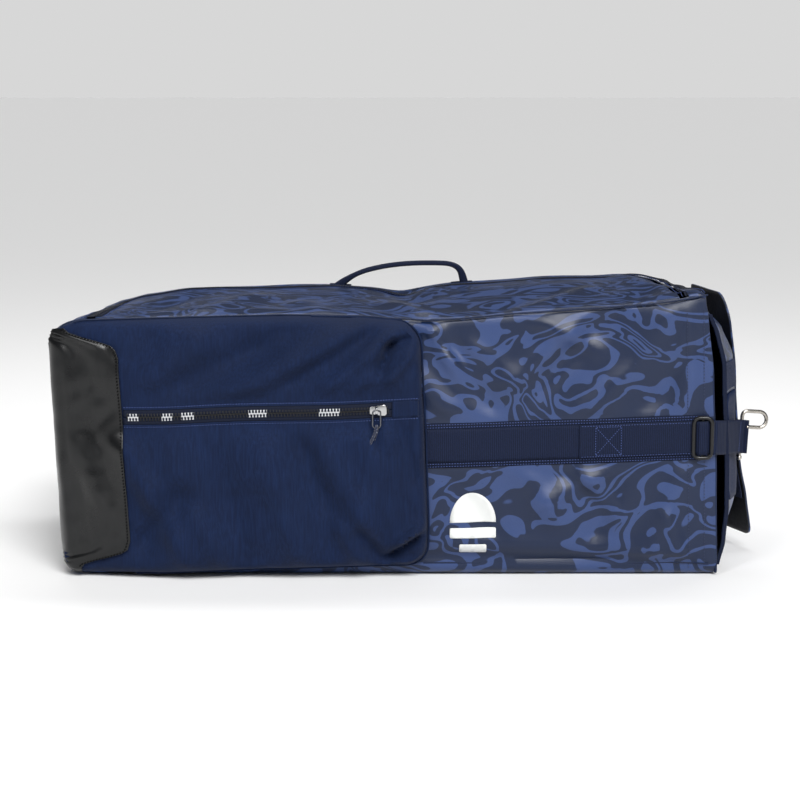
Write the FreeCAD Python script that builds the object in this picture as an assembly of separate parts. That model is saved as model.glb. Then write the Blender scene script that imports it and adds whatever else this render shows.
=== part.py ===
import FreeCAD, Part
import math
import os

# Rolling duffel bag, lying on its long side. Millimetres.
# +X runs from the wheel end to the mouth end, +Y from the pocket side to the trolley side, +Z up.
# The origin is the middle of the side that the bag rests on.

V = FreeCAD.Vector

# ---------------------------------------------------------------- driving dimensions
LENGTH = 725.0  # wheel end to mouth end, along X
DEPTH = 305.0  # pocket side to trolley side, along Y
HEIGHT_WHEEL_END = 280.0
HEIGHT_MOUTH_END = 306.0
WALL = 4.0  # coated fabric, foam and lining together
END_LEAN = 10.0  # how far the foot of the wheel end stands in from its head

X_WHEEL_END = -LENGTH / 2
X_MOUTH_END = LENGTH / 2
Y_FRONT = -DEPTH / 2
Y_BACK = DEPTH / 2
MIDDLE_HEIGHT = (HEIGHT_WHEEL_END + HEIGHT_MOUTH_END) / 2
TOP_SLOPE = math.degrees(math.atan((HEIGHT_MOUTH_END - HEIGHT_WHEEL_END) / LENGTH))
BAND_SLOPE = 1.8  # degrees that the pocket zip and the front strap climb towards the mouth end

# Lid: a D-shaped flap, hinged along the front top edge and zipped on its other three sides.
ZIP_LEFT = -318.0
ZIP_RIGHT = 338.0
ZIP_REAR = 108.0
ZIP_CORNER = 22.0
TAPE = 8.0  # zip tape that shows on each side of the chain
CHAIN = 2.6  # half width of the closed chain
TAPE_THICK = 1.2
HINGE_GAP = 0.3
TOP_CUT = 200.0  # a height between the lower and the upper seams, used to divide the gusset

# Front pocket
POCKET_RIGHT = 48.0
POCKET_OUT = 26.0  # how far it stands proud of the front panel
POCKET_WALL = 2.5
POCKET_ZIP_MIDDLE = V(-138, 0, 186.5)
POCKET_ZIP_LEFT = -282.0
POCKET_ZIP_RIGHT = 10.0
POCKET_SLIT = 9.0  # half height of the slot that the zip fills

# Front strap and its fittings
STRAP_MIDDLE = V(197, 0, 151.6)
BASE_WIDE = 50.0
WEB_WIDE = 38.0
WEB_THICK = 1.5
ADJUSTER_X = 349.0
TONGUE_ROOT = V(365.5, -156.5, 156.2)
TONGUE_LONG = 73.0
TONGUE_TURN = 59.6  # degrees from +X towards +Y
TONGUE_DROOP = 7.8
HOOK_TURN = -44.6  # the hook against the tongue, about the tongue's end loop
HOOK_WIRE = 4.3

# Mouth end: slip pocket and closing flap
POCKET_FRONT_Y = -138.0
FLAP_HINGE = V(371, 92, 0)
FLAP_LONG = 131.5
FLAP_TURN = -72.0
FLAP_THICK = 3.0

# Trolley
RAIL_HEIGHTS = {"lower": 90.0, "upper": 200.0}
RAIL_Y = 134.5
TUBE_WALL = 1.2
TUBE_STAGES = {"outer": (22.0, 15.0), "mid": (19.0, 12.0), "inner": (16.0, 9.0)}
TUBE_SPANS = {"outer": (-262.0, 325.0), "mid": (-258.0, 332.0), "inner": (-252.0, 343.0)}
GRIP_LOW, GRIP_HIGH = 80.0, 210.0
BUTTON_TRAVEL = 2.5
HEAD_FRONT = 104.0  # the head is deep enough for fingers in front of the grip

# Wheels
WHEEL_HEIGHTS = {"lower": 66.0, "upper": 224.0}
WHEEL_X, WHEEL_Y = -338.0, 136.0
WHEEL_RADIUS = 38.0
WHEEL_WIDE = 26.0
RIM_RADIUS = 29.0
BEARING_RADIUS = 11.0
BEARING_WIDE = 7.0
AXLE_RADIUS = 4.0
HOUSING_HALF = 20.0
HOUSING_WALL = 3.0
HOUSING_RIGHT, HOUSING_FRONT = -288.0, 90.0
ARCH_RADIUS = 42.0

# Skid rails
RAIL_LEFT, RAIL_RIGHT = -270.0, 300.0
SKID_HEIGHTS = {"lower": 40.0, "upper": 250.0}
SKID_HIGH = 8.0
SKID_HALF = 7.0
SCREW_PLACES = (-240.0, 15.0, 270.0)

PLANES = {
    "XZ": lambda u, v, w: V(u, w, v),
    "XY": lambda u, v, w: V(u, v, w),
    "YZ": lambda u, v, w: V(w, u, v),
}
NORMALS = {"XZ": V(0, 1, 0), "XY": V(0, 0, 1), "YZ": V(1, 0, 0)}

# The bag's outline seen from the pocket side, as (x, z), with each corner's radius.
OUTLINE = [
    (X_WHEEL_END + END_LEAN, 0.0),
    (X_MOUTH_END - 2.5, 0.0),
    (X_MOUTH_END, HEIGHT_MOUTH_END),
    (X_WHEEL_END, HEIGHT_WHEEL_END),
]
OUTLINE_RADII = [26.0, 8.0, 8.0, 20.0]


# ---------------------------------------------------------------- shape helpers
def corner(before, point, after, radius):
    """The two tangent points and the mid point of the arc that rounds a corner."""
    p = V(point[0], point[1], 0)
    to_a = (V(before[0], before[1], 0) - p).normalize()
    to_b = (V(after[0], after[1], 0) - p).normalize()
    half = to_a.getAngle(to_b) / 2
    reach = radius / math.tan(half)
    centre = p + (to_a + to_b).normalize() * (radius / math.sin(half))
    middle = centre + (p - centre).normalize() * radius
    return p + to_a * reach, middle, p + to_b * reach


def outline(points, radii, plane, level):
    """A closed wire through the points, with rounded corners."""
    if not isinstance(radii, (list, tuple)):
        radii = [radii] * len(points)
    lay = PLANES[plane]
    rounds = []
    for i, point in enumerate(points):
        if radii[i] > 0:
            rounds.append(corner(points[i - 1], point, points[(i + 1) % len(points)], radii[i]))
        else:
            rounds.append((V(point[0], point[1], 0),) * 3)
    edges = []
    for i, (start, middle, end) in enumerate(rounds):
        if radii[i] > 0:
            flat = [lay(p.x, p.y, level) for p in (start, middle, end)]
            edges.append(Part.Arc(*flat).toShape())
        following = rounds[(i + 1) % len(rounds)][0]
        if end.distanceToPoint(following) > 1e-6:
            run = (lay(end.x, end.y, level), lay(following.x, following.y, level))
            edges.append(Part.LineSegment(*run).toShape())
    return Part.Wire(edges)


def slab(points, radii, plane, start, end):
    """A flat plate: the rounded outline, extruded along the plane's normal."""
    face = Part.Face(outline(points, radii, plane, start))
    return face.extrude(NORMALS[plane] * (end - start))


def box(x0, x1, y0, y1, z0, z1):
    return Part.makeBox(x1 - x0, y1 - y0, z1 - z0, V(x0, y0, z0))


def rectangle(u0, u1, v0, v1):
    return [(u0, v0), (u1, v0), (u1, v1), (u0, v1)]


def inset(points, distance):
    """The outline's straight sides moved inwards. The points run anticlockwise."""
    moved = []
    for i, point in enumerate(points):
        before, after = points[i - 1], points[(i + 1) % len(points)]
        sides = []
        for a, b in ((before, point), (point, after)):
            along = V(b[0] - a[0], b[1] - a[1], 0).normalize()
            normal = V(-along.y, along.x, 0)
            sides.append((V(a[0], a[1], 0) + normal * distance, along))
        (p, d), (q, e) = sides
        cross = d.x * e.y - d.y * e.x
        reach = ((q.x - p.x) * e.y - (q.y - p.y) * e.x) / cross
        moved.append((p.x + d.x * reach, p.y + d.y * reach))
    return moved


def ribbon(points, thickness, low, high, bend=0.0):
    """A strip that stands on edge: its path is drawn in plan, and it is thickened to one side."""
    left = []
    for i, point in enumerate(points):
        a = points[max(i - 1, 0)]
        b = points[min(i + 1, len(points) - 1)]
        normal = V(b[1] - a[1], a[0] - b[0], 0).normalize()
        left.append((point[0] + normal.x * thickness, point[1] + normal.y * thickness))
    loop = left + points[::-1]
    last = len(points) - 1
    radii = [0 if i in (0, last, last + 1, 2 * last + 1) else bend for i in range(len(loop))]
    return slab(loop, radii, "XY", low, high)


def tube(path, radius):
    """A round wire or cord along a wire path."""
    start = path.Vertexes[0].Point
    tangent = path.Edges[0].tangentAt(path.Edges[0].FirstParameter)
    section = Part.Wire(Part.makeCircle(radius, start, tangent))
    return path.makePipeShell([section], True, True)


def run_wire(points, radii):
    """Straight runs joined by tangent arcs. A radius of None is 0.45 of the shorter run over the tangent."""
    edges, place, used = [], points[0], []
    for i in range(1, len(points) - 1):
        p = points[i]
        to_a = (points[i - 1] - p).normalize()
        to_b = (points[i + 1] - p).normalize()
        half = to_a.getAngle(to_b) / 2
        shorter = min((points[i - 1] - p).Length, (points[i + 1] - p).Length)
        radius = radii[i - 1] if radii else 0.45 * shorter * math.tan(half)
        reach = radius / math.tan(half)
        centre = p + (to_a + to_b).normalize() * (radius / math.sin(half))
        middle = centre + (p - centre).normalize() * radius
        start, end = p + to_a * reach, p + to_b * reach
        if place.distanceToPoint(start) > 1e-6:
            edges.append(Part.LineSegment(place, start).toShape())
        edges.append(Part.Arc(start, middle, end).toShape())
        place = end
        used.append(radius)
    edges.append(Part.LineSegment(place, points[-1]).toShape())
    return Part.Wire(edges), used


def on_top(shape):
    """Takes a shape drawn flat at height 0 to the sloping top of the bag."""
    shape.rotate(V(0, 0, 0), V(0, 1, 0), -TOP_SLOPE)
    shape.translate(V(0, 0, MIDDLE_HEIGHT))
    return shape


def on_band(shape, middle):
    """Tilts a shape drawn level about the middle of a band on the front."""
    shape.rotate(V(middle.x, 0, middle.z), V(0, 1, 0), -BAND_SLOPE)
    return shape


def d_plan(grow, hinge_gap):
    """The lid's D outline in plan, grown outwards from the parting line of its zip."""
    points = rectangle(ZIP_LEFT - grow, ZIP_RIGHT + grow, Y_FRONT + WALL + hinge_gap, ZIP_REAR + grow)
    radius = ZIP_CORNER + grow
    return points, [0, 0, radius, radius]


def d_prism(grow, low, high, hinge_gap=HINGE_GAP):
    points, radii = d_plan(grow, hinge_gap)
    return on_top(slab(points, radii, "XY", low, high))


def gusset():
    """The band of fabric round the bag, between the front and the back panel."""
    span = (Y_FRONT + WALL, Y_BACK - WALL)
    inner_radii = [max(r - WALL, 0) for r in OUTLINE_RADII]
    outer = slab(OUTLINE, OUTLINE_RADII, "XZ", *span)
    return outer.cut(slab(inset(OUTLINE, WALL), inner_radii, "XZ", *span))


def housing_block(height):
    return box(X_WHEEL_END - 5, HOUSING_RIGHT, HOUSING_FRONT, Y_BACK, height - HOUSING_HALF, height + HOUSING_HALF)


def bezel_block():
    return box(325, X_MOUTH_END + 5, HEAD_FRONT, Y_BACK - WALL, 68, 222)


def without_fittings(shape):
    """Cuts a panel away where the wheel housings and the trolley's head come through it."""
    for height in WHEEL_HEIGHTS.values():
        shape = shape.cut(housing_block(height))
    return shape.cut(bezel_block())


# ---------------------------------------------------------------- sewn body
def front_panel():
    return slab(OUTLINE, OUTLINE_RADII, "XZ", Y_FRONT, Y_FRONT + WALL)


def back_cover():
    plate = slab(OUTLINE, OUTLINE_RADII, "XZ", Y_BACK - WALL, Y_BACK)
    for height in WHEEL_HEIGHTS.values():
        plate = plate.cut(housing_block(height))
    for place in screw_places():
        plate = plate.cut(Part.makeCylinder(2, 30, V(place[0], Y_BACK - 20, place[1]), V(0, 1, 0)))
    return plate


def lower_side_panel():
    return gusset().common(box(-326, 352, Y_FRONT, Y_BACK, -1, 20))


def base_end_panel():
    foot = box(-400, -326, Y_FRONT, Y_BACK, -1, 400)
    head = box(-326, ZIP_LEFT + ZIP_CORNER, Y_FRONT, Y_BACK, TOP_CUT, 400)
    panel = gusset().common(foot.fuse(head)).cut(d_prism(TAPE, -40, 40, -1))
    return without_fittings(panel)


def mouth_end_panel():
    foot = box(352, 400, Y_FRONT, Y_BACK, -1, 400)
    head = box(ZIP_RIGHT - ZIP_CORNER, 352, Y_FRONT, Y_BACK, TOP_CUT, 400)
    panel = gusset().common(foot.fuse(head)).cut(d_prism(TAPE, -40, 40, -1))
    return without_fittings(panel)


def rear_top_strip():
    strip = box(ZIP_LEFT + ZIP_CORNER, ZIP_RIGHT - ZIP_CORNER, Y_FRONT, Y_BACK, TOP_CUT, 400)
    return gusset().common(strip).cut(d_prism(TAPE, -40, 40, -1))


def lid_panel():
    return d_prism(-TAPE, -WALL, 0)


def zip_side(outer_grow, inner_grow, low, high, hinge_margin):
    """A U-shaped band along the lid's zip, between two offsets from its parting line."""
    band = d_prism(outer_grow, low, high).cut(d_prism(inner_grow, low - 5, high + 5))
    front = Y_FRONT + WALL + hinge_margin
    return band.common(box(-400, 400, front, 200, 0, 400))


def main_zip_lid_tape():
    return zip_side(-CHAIN, -TAPE, -2.6, -2.6 + TAPE_THICK, 6)


def main_zip_lid_teeth():
    return zip_side(-0.15, -CHAIN, -3.4, -0.8, 6)


def main_zip_body_tape():
    return zip_side(TAPE, CHAIN, -2.6, -2.6 + TAPE_THICK, 6)


def main_zip_body_teeth():
    return zip_side(CHAIN, 0.15, -3.4, -0.8, 6)


def end_guard():
    """The coated scuff panel: a patch on the pocket's face that turns round the wheel end."""
    grown = inset(OUTLINE, -2)
    radii = [r + 2 if r > 10 else r for r in OUTLINE_RADII]
    wrap = slab(grown, radii, "XZ", Y_FRONT - 4.5, 86)
    wrap = wrap.cut(slab(OUTLINE, OUTLINE_RADII, "XZ", Y_FRONT - 10, 90))
    wrap = wrap.common(box(-400, -330, -200, 200, 14, 262))
    patch_points = [(-352.5, 6), (-277, 32), (-286, 258), (-361, 276)]
    patch = slab(patch_points, [4, 18, 18, 4], "XZ", -220, -100)
    face = slab([(-353.5, -159.2), (-353.5, -157.2), (-276, -170.8), (-276, -172.8)], 0, "XY", 0, 300)
    patch = patch.common(face)
    return wrap.fuse(patch)


def front_badge():
    """A generic printed sign: a dome over two bars."""
    middle, low, half = 98.5, 27.0, 25.5
    y0, y1 = Y_FRONT - 0.4, Y_FRONT
    bars = [
        slab(rectangle(middle - 15, middle + 15, low, low + 10), 2, "XZ", y0, y1),
        slab(rectangle(middle - half, middle + half, low + 17, low + 28), 2, "XZ", y0, y1),
    ]
    dome = Part.makeCylinder(half, y1 - y0, V(middle, y0, low + 35), V(0, 1, 0))
    dome = dome.common(box(0, 200, y0, y1, low + 35, 200))
    return Part.makeCompound(bars + [dome])


def front_welts():
    """Piping cord sewn into the bottom and top seams of the front, past the pocket."""
    low = Part.makeCylinder(2, 296, V(56, Y_FRONT - 2, 6), V(1, 0, 0))
    rise = V(1, 0, math.tan(math.radians(TOP_SLOPE)))
    start = MIDDLE_HEIGHT + 56 * rise.z - 5
    high = Part.makeCylinder(2, 296, V(56, Y_FRONT - 2, start), rise)
    return Part.makeCompound([low, high])


# ---------------------------------------------------------------- front pocket
def pocket_plan(shrink):
    back = Y_FRONT + (1 if shrink else 0)
    return [
        (-350 + 14 * shrink, back),
        (POCKET_RIGHT - POCKET_WALL * shrink, back),
        (POCKET_RIGHT - POCKET_WALL * shrink, Y_FRONT - POCKET_OUT + 9),
        (POCKET_RIGHT - 14, Y_FRONT - POCKET_OUT + POCKET_WALL * shrink),
        (-230, Y_FRONT - POCKET_OUT + POCKET_WALL * shrink),
        (-350 + 14 * shrink, -157.5 + POCKET_WALL * shrink),
    ]


def pocket_front_outline(shrink):
    slope = math.tan(math.radians(TOP_SLOPE))
    step = POCKET_WALL * shrink + 1
    return [
        (X_WHEEL_END + END_LEAN + 2, 2 + step),
        (POCKET_RIGHT - POCKET_WALL * shrink, 2 + step),
        (POCKET_RIGHT - POCKET_WALL * shrink, MIDDLE_HEIGHT + POCKET_RIGHT * slope - 4 - step),
        (X_WHEEL_END + 1, HEIGHT_WHEEL_END - 4 - step),
    ]


def pocket_body(shrink):
    plan = slab(pocket_plan(shrink), [0, 0, 4, 8, 30, 2], "XY", 0, 300)
    corner_radius = 30 - POCKET_WALL * shrink
    face = slab(pocket_front_outline(shrink), [24, corner_radius, corner_radius, 18], "XZ", -200, Y_FRONT)
    return plan.common(face)


def pocket_band(left, low, high):
    """A level band across the pocket's face, turned to the zip's climb."""
    z = POCKET_ZIP_MIDDLE.z
    return on_band(box(left, POCKET_ZIP_RIGHT, -200, -160, z + low, z + high), POCKET_ZIP_MIDDLE)


def pocket_skin(outer, inner):
    """A layer of the pocket's wall: 0 is its outer face and 1 its inner face."""
    return pocket_body(outer).cut(pocket_body(inner))


def front_pocket():
    return pocket_skin(0, 1).cut(pocket_band(POCKET_ZIP_LEFT, -POCKET_SLIT, POCKET_SLIT))


def pocket_zip_tapes():
    skin = pocket_skin(0.2, 0.7)
    spans = ((-POCKET_SLIT, -CHAIN), (CHAIN, POCKET_SLIT))
    return Part.makeCompound([skin.common(pocket_band(POCKET_ZIP_LEFT, *span)) for span in spans])


def pocket_zip_teeth():
    return pocket_skin(-0.24, 0.9).common(pocket_band(POCKET_ZIP_LEFT + 3, -CHAIN, CHAIN))


def pocket_zip_garage():
    """The fabric tab that covers the closed end of the pocket zip."""
    z, out = POCKET_ZIP_MIDDLE.z, Y_FRONT - POCKET_OUT
    tab = box(11, 32, out - 0.8, out, z - 10, z + 10)
    return on_band(tab, POCKET_ZIP_MIDDLE)


SLIDER_X = -3.0
SLIDER_OUT = Y_FRONT - POCKET_OUT - 1.0


def pocket_zip_slider():
    """A shield-shaped plate over the chain. Its bridge stands across the zip and holds the pull's bar."""
    z = POCKET_ZIP_MIDDLE.z
    shield = [(-15, -4), (4, -6.5), (10, -4), (10, 4), (4, 6.5), (-15, 4)]
    points = [(SLIDER_X + a, z + b) for a, b in shield]
    plate = slab(points, 1.5, "XZ", SLIDER_OUT - 2.4, SLIDER_OUT)
    plate = on_band(plate, POCKET_ZIP_MIDDLE)
    out = SLIDER_OUT - 2.4
    bridge = box(PULL_X - 1.6, PULL_X + 1.6, out - 4.2, out, PULL_AXIS - 4.2, PULL_AXIS + 4.2)
    window = box(PULL_X - 3, PULL_X + 3, out - 2.8, out, PULL_AXIS - 2.2, PULL_AXIS + 2.2)
    return plate.fuse(bridge.cut(window))


PULL_X = SLIDER_X - 4.0
PULL_AXIS = 190.6


def pocket_zip_pull():
    """A flat oval ring that hangs from the bridge."""
    y = SLIDER_OUT - 3.8
    outer = slab(rectangle(PULL_X - 5.2, PULL_X + 5.2, PULL_AXIS - 19.6, PULL_AXIS + 0.8), 4.5, "XZ", y - 0.7, y + 0.7)
    inner = slab(rectangle(PULL_X - 3.4, PULL_X + 3.4, PULL_AXIS - 17.8, PULL_AXIS - 0.8), 3, "XZ", y - 3, y + 3)
    return outer.cut(inner)


# The pull's cord is doubled through the ring: each strand starts inside the ring, on its lower bar.
CORD_DIAMETER = 3.0
CORD_START = V(PULL_X, SLIDER_OUT - 3.8, PULL_AXIS - 16.2)
CORD_STRANDS = {
    "left": [V(-7.4, -186.6, 172.6), V(-8.4, -187.2, 167.4), V(-11.6, -185.8, 160.0), V(-14.8, -184.2, 152.6),
             V(-17.2, -183.0, 145.8), V(-20.6, -182.0, 138.8)],
    "right": [V(-6.9, -180.6, 171.6), V(-6.4, -180.4, 166.4), V(-7.8, -180.7, 159.2), V(-10.2, -180.5, 152.0),
              V(-11.0, -180.8, 145.4), V(-12.8, -180.6, 139.6)],
}


def pull_cord(side):
    points = [CORD_START] + CORD_STRANDS[side]
    path, radii = run_wire(points, None)
    solid = tube(path, CORD_DIAMETER / 2)
    whole = math.pi * (CORD_DIAMETER / 2) ** 2 * path.Length
    print("pull cord", side, "length", round(path.Length, 1), "volume share", round(solid.Volume / whole, 3),
          "radii", [round(r, 1) for r in radii])
    return solid


# ---------------------------------------------------------------- lid zip slider
def main_zip_slider():
    """Sits over the chain's right arm. Its overhang clears the body's half of the chain."""
    plate = slab(rectangle(ZIP_RIGHT - 5.5, ZIP_RIGHT + 5.5, -128, -104), 2.5, "XY", -0.3, 2.2)
    bridge = box(ZIP_RIGHT - 1.6, ZIP_RIGHT + 1.6, -122, -108, 2.2, 6.4)
    window = box(ZIP_RIGHT - 3, ZIP_RIGHT + 3, -118.5, -111.5, 2.2, 5.0)
    return on_top(plate.fuse(bridge).cut(window))


def main_zip_pull():
    outer = slab(rectangle(ZIP_RIGHT - 5, ZIP_RIGHT + 5, -114.5, -90), 4, "XY", 2.8, 4.4)
    inner = slab(rectangle(ZIP_RIGHT - 2.6, ZIP_RIGHT + 2.6, -112.9, -103), 2.5, "XY", 0, 8)
    return on_top(outer.cut(inner))


# ---------------------------------------------------------------- front strap
def strap_base():
    z = STRAP_MIDDLE.z
    tape = box(POCKET_RIGHT + 1.3, 359, Y_FRONT - WEB_THICK, Y_FRONT, z - BASE_WIDE / 2, z + BASE_WIDE / 2)
    return on_band(tape, STRAP_MIDDLE)


def strap_webbing():
    z, out = STRAP_MIDDLE.z, Y_FRONT - WEB_THICK
    web = box(POCKET_RIGHT + 1.3, 364, out - WEB_THICK, out, z - WEB_WIDE / 2, z + WEB_WIDE / 2)
    return on_band(web, STRAP_MIDDLE)


def strap_adjuster():
    """A rectangular slide with a middle bar."""
    z, inner_face = STRAP_MIDDLE.z, Y_FRONT - 2 * WEB_THICK - 1.5
    ring = slab(rectangle(ADJUSTER_X - 12, ADJUSTER_X + 12, z - 24, z + 24), 8, "XZ", inner_face - 4, inner_face)
    hole = slab(rectangle(ADJUSTER_X - 8.4, ADJUSTER_X + 8.4, z - 20, z + 20), 1.5, "XZ", -170, -150)
    bar = box(ADJUSTER_X - 1.6, ADJUSTER_X + 1.6, inner_face - 3, inner_face - 0.4, z - 20.5, z + 20.5)
    return on_band(ring.cut(hole).fuse(bar), STRAP_MIDDLE)


def adjuster_webbing():
    """The webbing's hump over the adjuster's middle bar."""
    z, low = STRAP_MIDDLE.z, Y_FRONT - 2 * WEB_THICK - 0.3
    x, crest = ADJUSTER_X, Y_FRONT - 2 * WEB_THICK - 4.8
    path = [(x - 22, low), (x - 6.6, low), (x - 3.4, crest), (x + 3.4, crest), (x + 6.6, low), (x + 11.5, low)]
    hump = ribbon(path, 0.9, z - 18.6, z + 18.6, 1.2)
    return on_band(hump, STRAP_MIDDLE)


def in_tongue_frame(shape):
    """Takes a shape drawn along +X from the origin to the strap's free end."""
    shape.rotate(V(0, 0, 0), V(0, 1, 0), TONGUE_DROOP)
    shape.rotate(V(0, 0, 0), V(0, 0, 1), TONGUE_TURN)
    shape.translate(TONGUE_ROOT)
    return shape


def strap_tongue():
    """The strap's free end: doubled webbing, with a loop that holds the hook's bar."""
    half = WEB_WIDE / 2
    web = box(0, TONGUE_LONG - 3.4, -1.5, 1.5, -half, half)
    loop = Part.makeCylinder(4.4, WEB_WIDE, V(TONGUE_LONG, 0, -half), V(0, 0, 1))
    bore = Part.makeCylinder(HOOK_WIRE / 2 + 0.45, WEB_WIDE + 2, V(TONGUE_LONG, 0, -half - 1), V(0, 0, 1))
    return in_tongue_frame(web.fuse(loop).cut(bore))


def g_hook():
    """Bent steel wire: a bar through the webbing loop, then a U that hooks into a loop of webbing."""
    points = [V(0, 0, -24.5), V(0, 0, 29), V(30, 0, 29), V(30, 0, 11), V(8, 0, 11)]
    path, _ = run_wire(points, [6, 8.9, 8.9])
    hook = tube(path, HOOK_WIRE / 2)
    hook = hook.fuse(Part.makeSphere(3.2, V(0, 0, -24)))
    hook = hook.fuse(Part.makeSphere(HOOK_WIRE / 2, V(8, 0, 11)))
    hook.rotate(V(0, 0, 0), V(0, 0, 1), HOOK_TURN)
    hook.translate(V(TONGUE_LONG, 0, 0))
    return in_tongue_frame(hook)


# ---------------------------------------------------------------- mouth end
def bulge(shrink):
    """The slip pocket's form: full in the middle of the height, and drawn in at both ends."""
    sections = []
    for height, fullness in ((7, 0.14), (36, 0.68), (74, 1.0), (236, 1.0), (268, 0.68), (292, 0.14)):
        reach = [X_MOUTH_END + 0.2, 11.0, 34.0, 25.0]
        back = X_MOUTH_END - 3 * shrink
        wall = 3.0 * shrink
        front = POCKET_FRONT_Y - 6 * shrink
        points = [
            (back, front),
            (X_MOUTH_END + reach[1] * fullness - wall, front),
            (X_MOUTH_END + reach[2] * fullness - wall, -70),
            (X_MOUTH_END + reach[3] * fullness - wall, 0),
            (X_MOUTH_END + 1.5 * fullness - wall, 66 - 5 * shrink),
            (back, 66 - 5 * shrink),
        ]
        level = height + (3 * shrink if height < 40 else -3 * shrink if height > 250 else 0)
        sections.append(outline(points, 0, "XY", level))
    return Part.makeLoft(sections, True, True)


def end_slip_pocket():
    keep = box(X_MOUTH_END + 0.05, 420, -200, 100, 0, 300)
    return bulge(0).common(keep).cut(bulge(1))


def on_slip_pocket(y0, y1, z0, z1, low, high, chamfer):
    """A plate on the slip pocket's front facet, cut back at its two outer corners."""
    slope = (34.0 - 11.0) / (-70 - POCKET_FRONT_Y)
    x0 = X_MOUTH_END + 11.0 + (y0 - POCKET_FRONT_Y) * slope
    x1 = X_MOUTH_END + 11.0 + (y1 - POCKET_FRONT_Y) * slope
    plan = [(x0 + low, y0), (x0 + high, y0), (x1 + high, y1), (x1 + low, y1)]
    plate = slab(plan, 0, "XY", z0, z1)
    face = [(y0, z0 + chamfer), (y0 + chamfer, z0), (y1, z0), (y1, z1), (y0 + chamfer, z1), (y0, z1 - chamfer)]
    return plate.common(slab(face, 0, "YZ", 340, 420)) if chamfer else plate


def end_patch():
    return on_slip_pocket(-122, -78, 78, 198, 0.05, 1.6, 7)


def end_loop_tape():
    return on_slip_pocket(-128, -84, 203, 234, 0.05, 2.0, 0)


def in_flap_frame(shape):
    shape.rotate(V(0, 0, 0), V(0, 0, 1), FLAP_TURN)
    shape.translate(FLAP_HINGE)
    return shape


def end_flap():
    plate = slab(rectangle(1.5, FLAP_LONG, 20, 291), [3, 10, 42, 3], "XZ", 0, FLAP_THICK)
    return in_flap_frame(plate)


def flap_hook_tape():
    return in_flap_frame(box(FLAP_LONG - 30, FLAP_LONG - 5, -1.6, 0, 60, 236))


def flap_seam():
    """The bound seam that the flap is sewn into."""
    plate = box(X_MOUTH_END + 0.1, FLAP_HINGE.x - 1, FLAP_HINGE.y - 6, FLAP_HINGE.y + 8, 20, 291)
    return plate


# ---------------------------------------------------------------- grab handle
HANDLE_Y = 131.0
HANDLE_AXIS = 2.6  # height of the turning line above the top
HANDLE_SHAPE = [  # outer edge from the left foot over the arch, then the inner edge back
    (-64, 0), (-44, 13), (-20, 22), (10, 26.5), (52, 27), (82, 24), (97, 14), (104, 0),
    (88, 0), (87, 11), (76, 18), (50, 20.5), (12, 20.5), (-14, 16), (-34, 8), (-46, 0),
]


def grab_handle():
    """A webbing loop, folded thicker where the hand holds it and flat at its feet."""
    radii = [0, 20, 30, 40, 40, 14, 10, 0, 0, 6, 8, 30, 40, 24, 16, 0]
    points = [(u, v + HANDLE_AXIS) for u, v in HANDLE_SHAPE]
    face = slab(points, radii, "XZ", HANDLE_Y - 8, HANDLE_Y + 8)
    taper = [(HANDLE_Y - 1.2, HANDLE_AXIS), (HANDLE_Y + 1.2, HANDLE_AXIS), (HANDLE_Y + 6.5, 16), (HANDLE_Y + 6.5, 40),
             (HANDLE_Y - 6.5, 40), (HANDLE_Y - 6.5, 16)]
    return on_top(face.common(slab(taper, 0, "YZ", -100, 140)))


def handle_anchors():
    feet = [
        slab(rectangle(a, b, HANDLE_Y - 6, HANDLE_Y + 6), 2, "XY", 0, 1.2)
        for a, b in ((-68, -42), (84, 108))
    ]
    return on_top(Part.makeCompound(feet))


# ---------------------------------------------------------------- trolley
def frame_sheet():
    sheet = box(-286, 322, 118, 120.5, 8, 272)
    return sheet


def rail_tube(stage, rail):
    """A rectangular aluminium tube with rounded corners."""
    wide, deep = TUBE_STAGES[stage]
    z = RAIL_HEIGHTS[rail]
    start, end = TUBE_SPANS[stage]
    skin = rectangle(RAIL_Y - deep / 2, RAIL_Y + deep / 2, z - wide / 2, z + wide / 2)
    core = rectangle(
        RAIL_Y - deep / 2 + TUBE_WALL, RAIL_Y + deep / 2 - TUBE_WALL,
        z - wide / 2 + TUBE_WALL, z + wide / 2 - TUBE_WALL,
    )
    return slab(skin, 3, "YZ", start, end).cut(slab(core, 1.8, "YZ", start - 1, end + 1))


def trolley_foot():
    return slab(rectangle(122, 147, 70, 220), 5, "YZ", -285, -262)


def trolley_head():
    """The cup that the grip drops into, with a finger scoop beside it and a slot for each rail."""
    cup = slab(rectangle(HEAD_FRONT + 0.2, 148.3, 68.5, 221.5), 6, "YZ", 325, X_MOUTH_END)
    cup = cup.cut(slab(rectangle(123.5, 146.5, 76, 214), 5, "YZ", 341, 400))
    cup = cup.cut(slab(rectangle(107, 130, 112, 178), 8, "YZ", 337, 400))
    for z in RAIL_HEIGHTS.values():
        slot = rectangle(RAIL_Y - 6.4, RAIL_Y + 6.4, z - 9.9, z + 9.9)
        cup = cup.cut(slab(slot, 3, "YZ", 320, 345))
    return cup


def trolley_grip():
    """A bar with a finger gap behind it, and pockets for the button, its cross bar and its rods."""
    grip = slab(rectangle(126, 144, GRIP_LOW, GRIP_HIGH), 7, "YZ", 343, 361)
    grip = grip.cut(slab(rectangle(340, 348.5, 106, 184), 3, "XZ", 100, 160))
    grip = grip.cut(slab(rectangle(130, 140, 131, 159), 4, "YZ", 357 - BUTTON_TRAVEL - 0.4, 365))
    grip = grip.cut(box(350, 357.4, 132, 137, 86, 204))
    for z in RAIL_HEIGHTS.values():
        grip = grip.cut(Part.makeCylinder(2.2, 10, V(342, RAIL_Y, z), V(1, 0, 0)))
    return grip


def grip_button():
    return slab(rectangle(130.4, 139.6, 131.4, 158.6), 3.6, "YZ", 357.0, 362)


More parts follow.
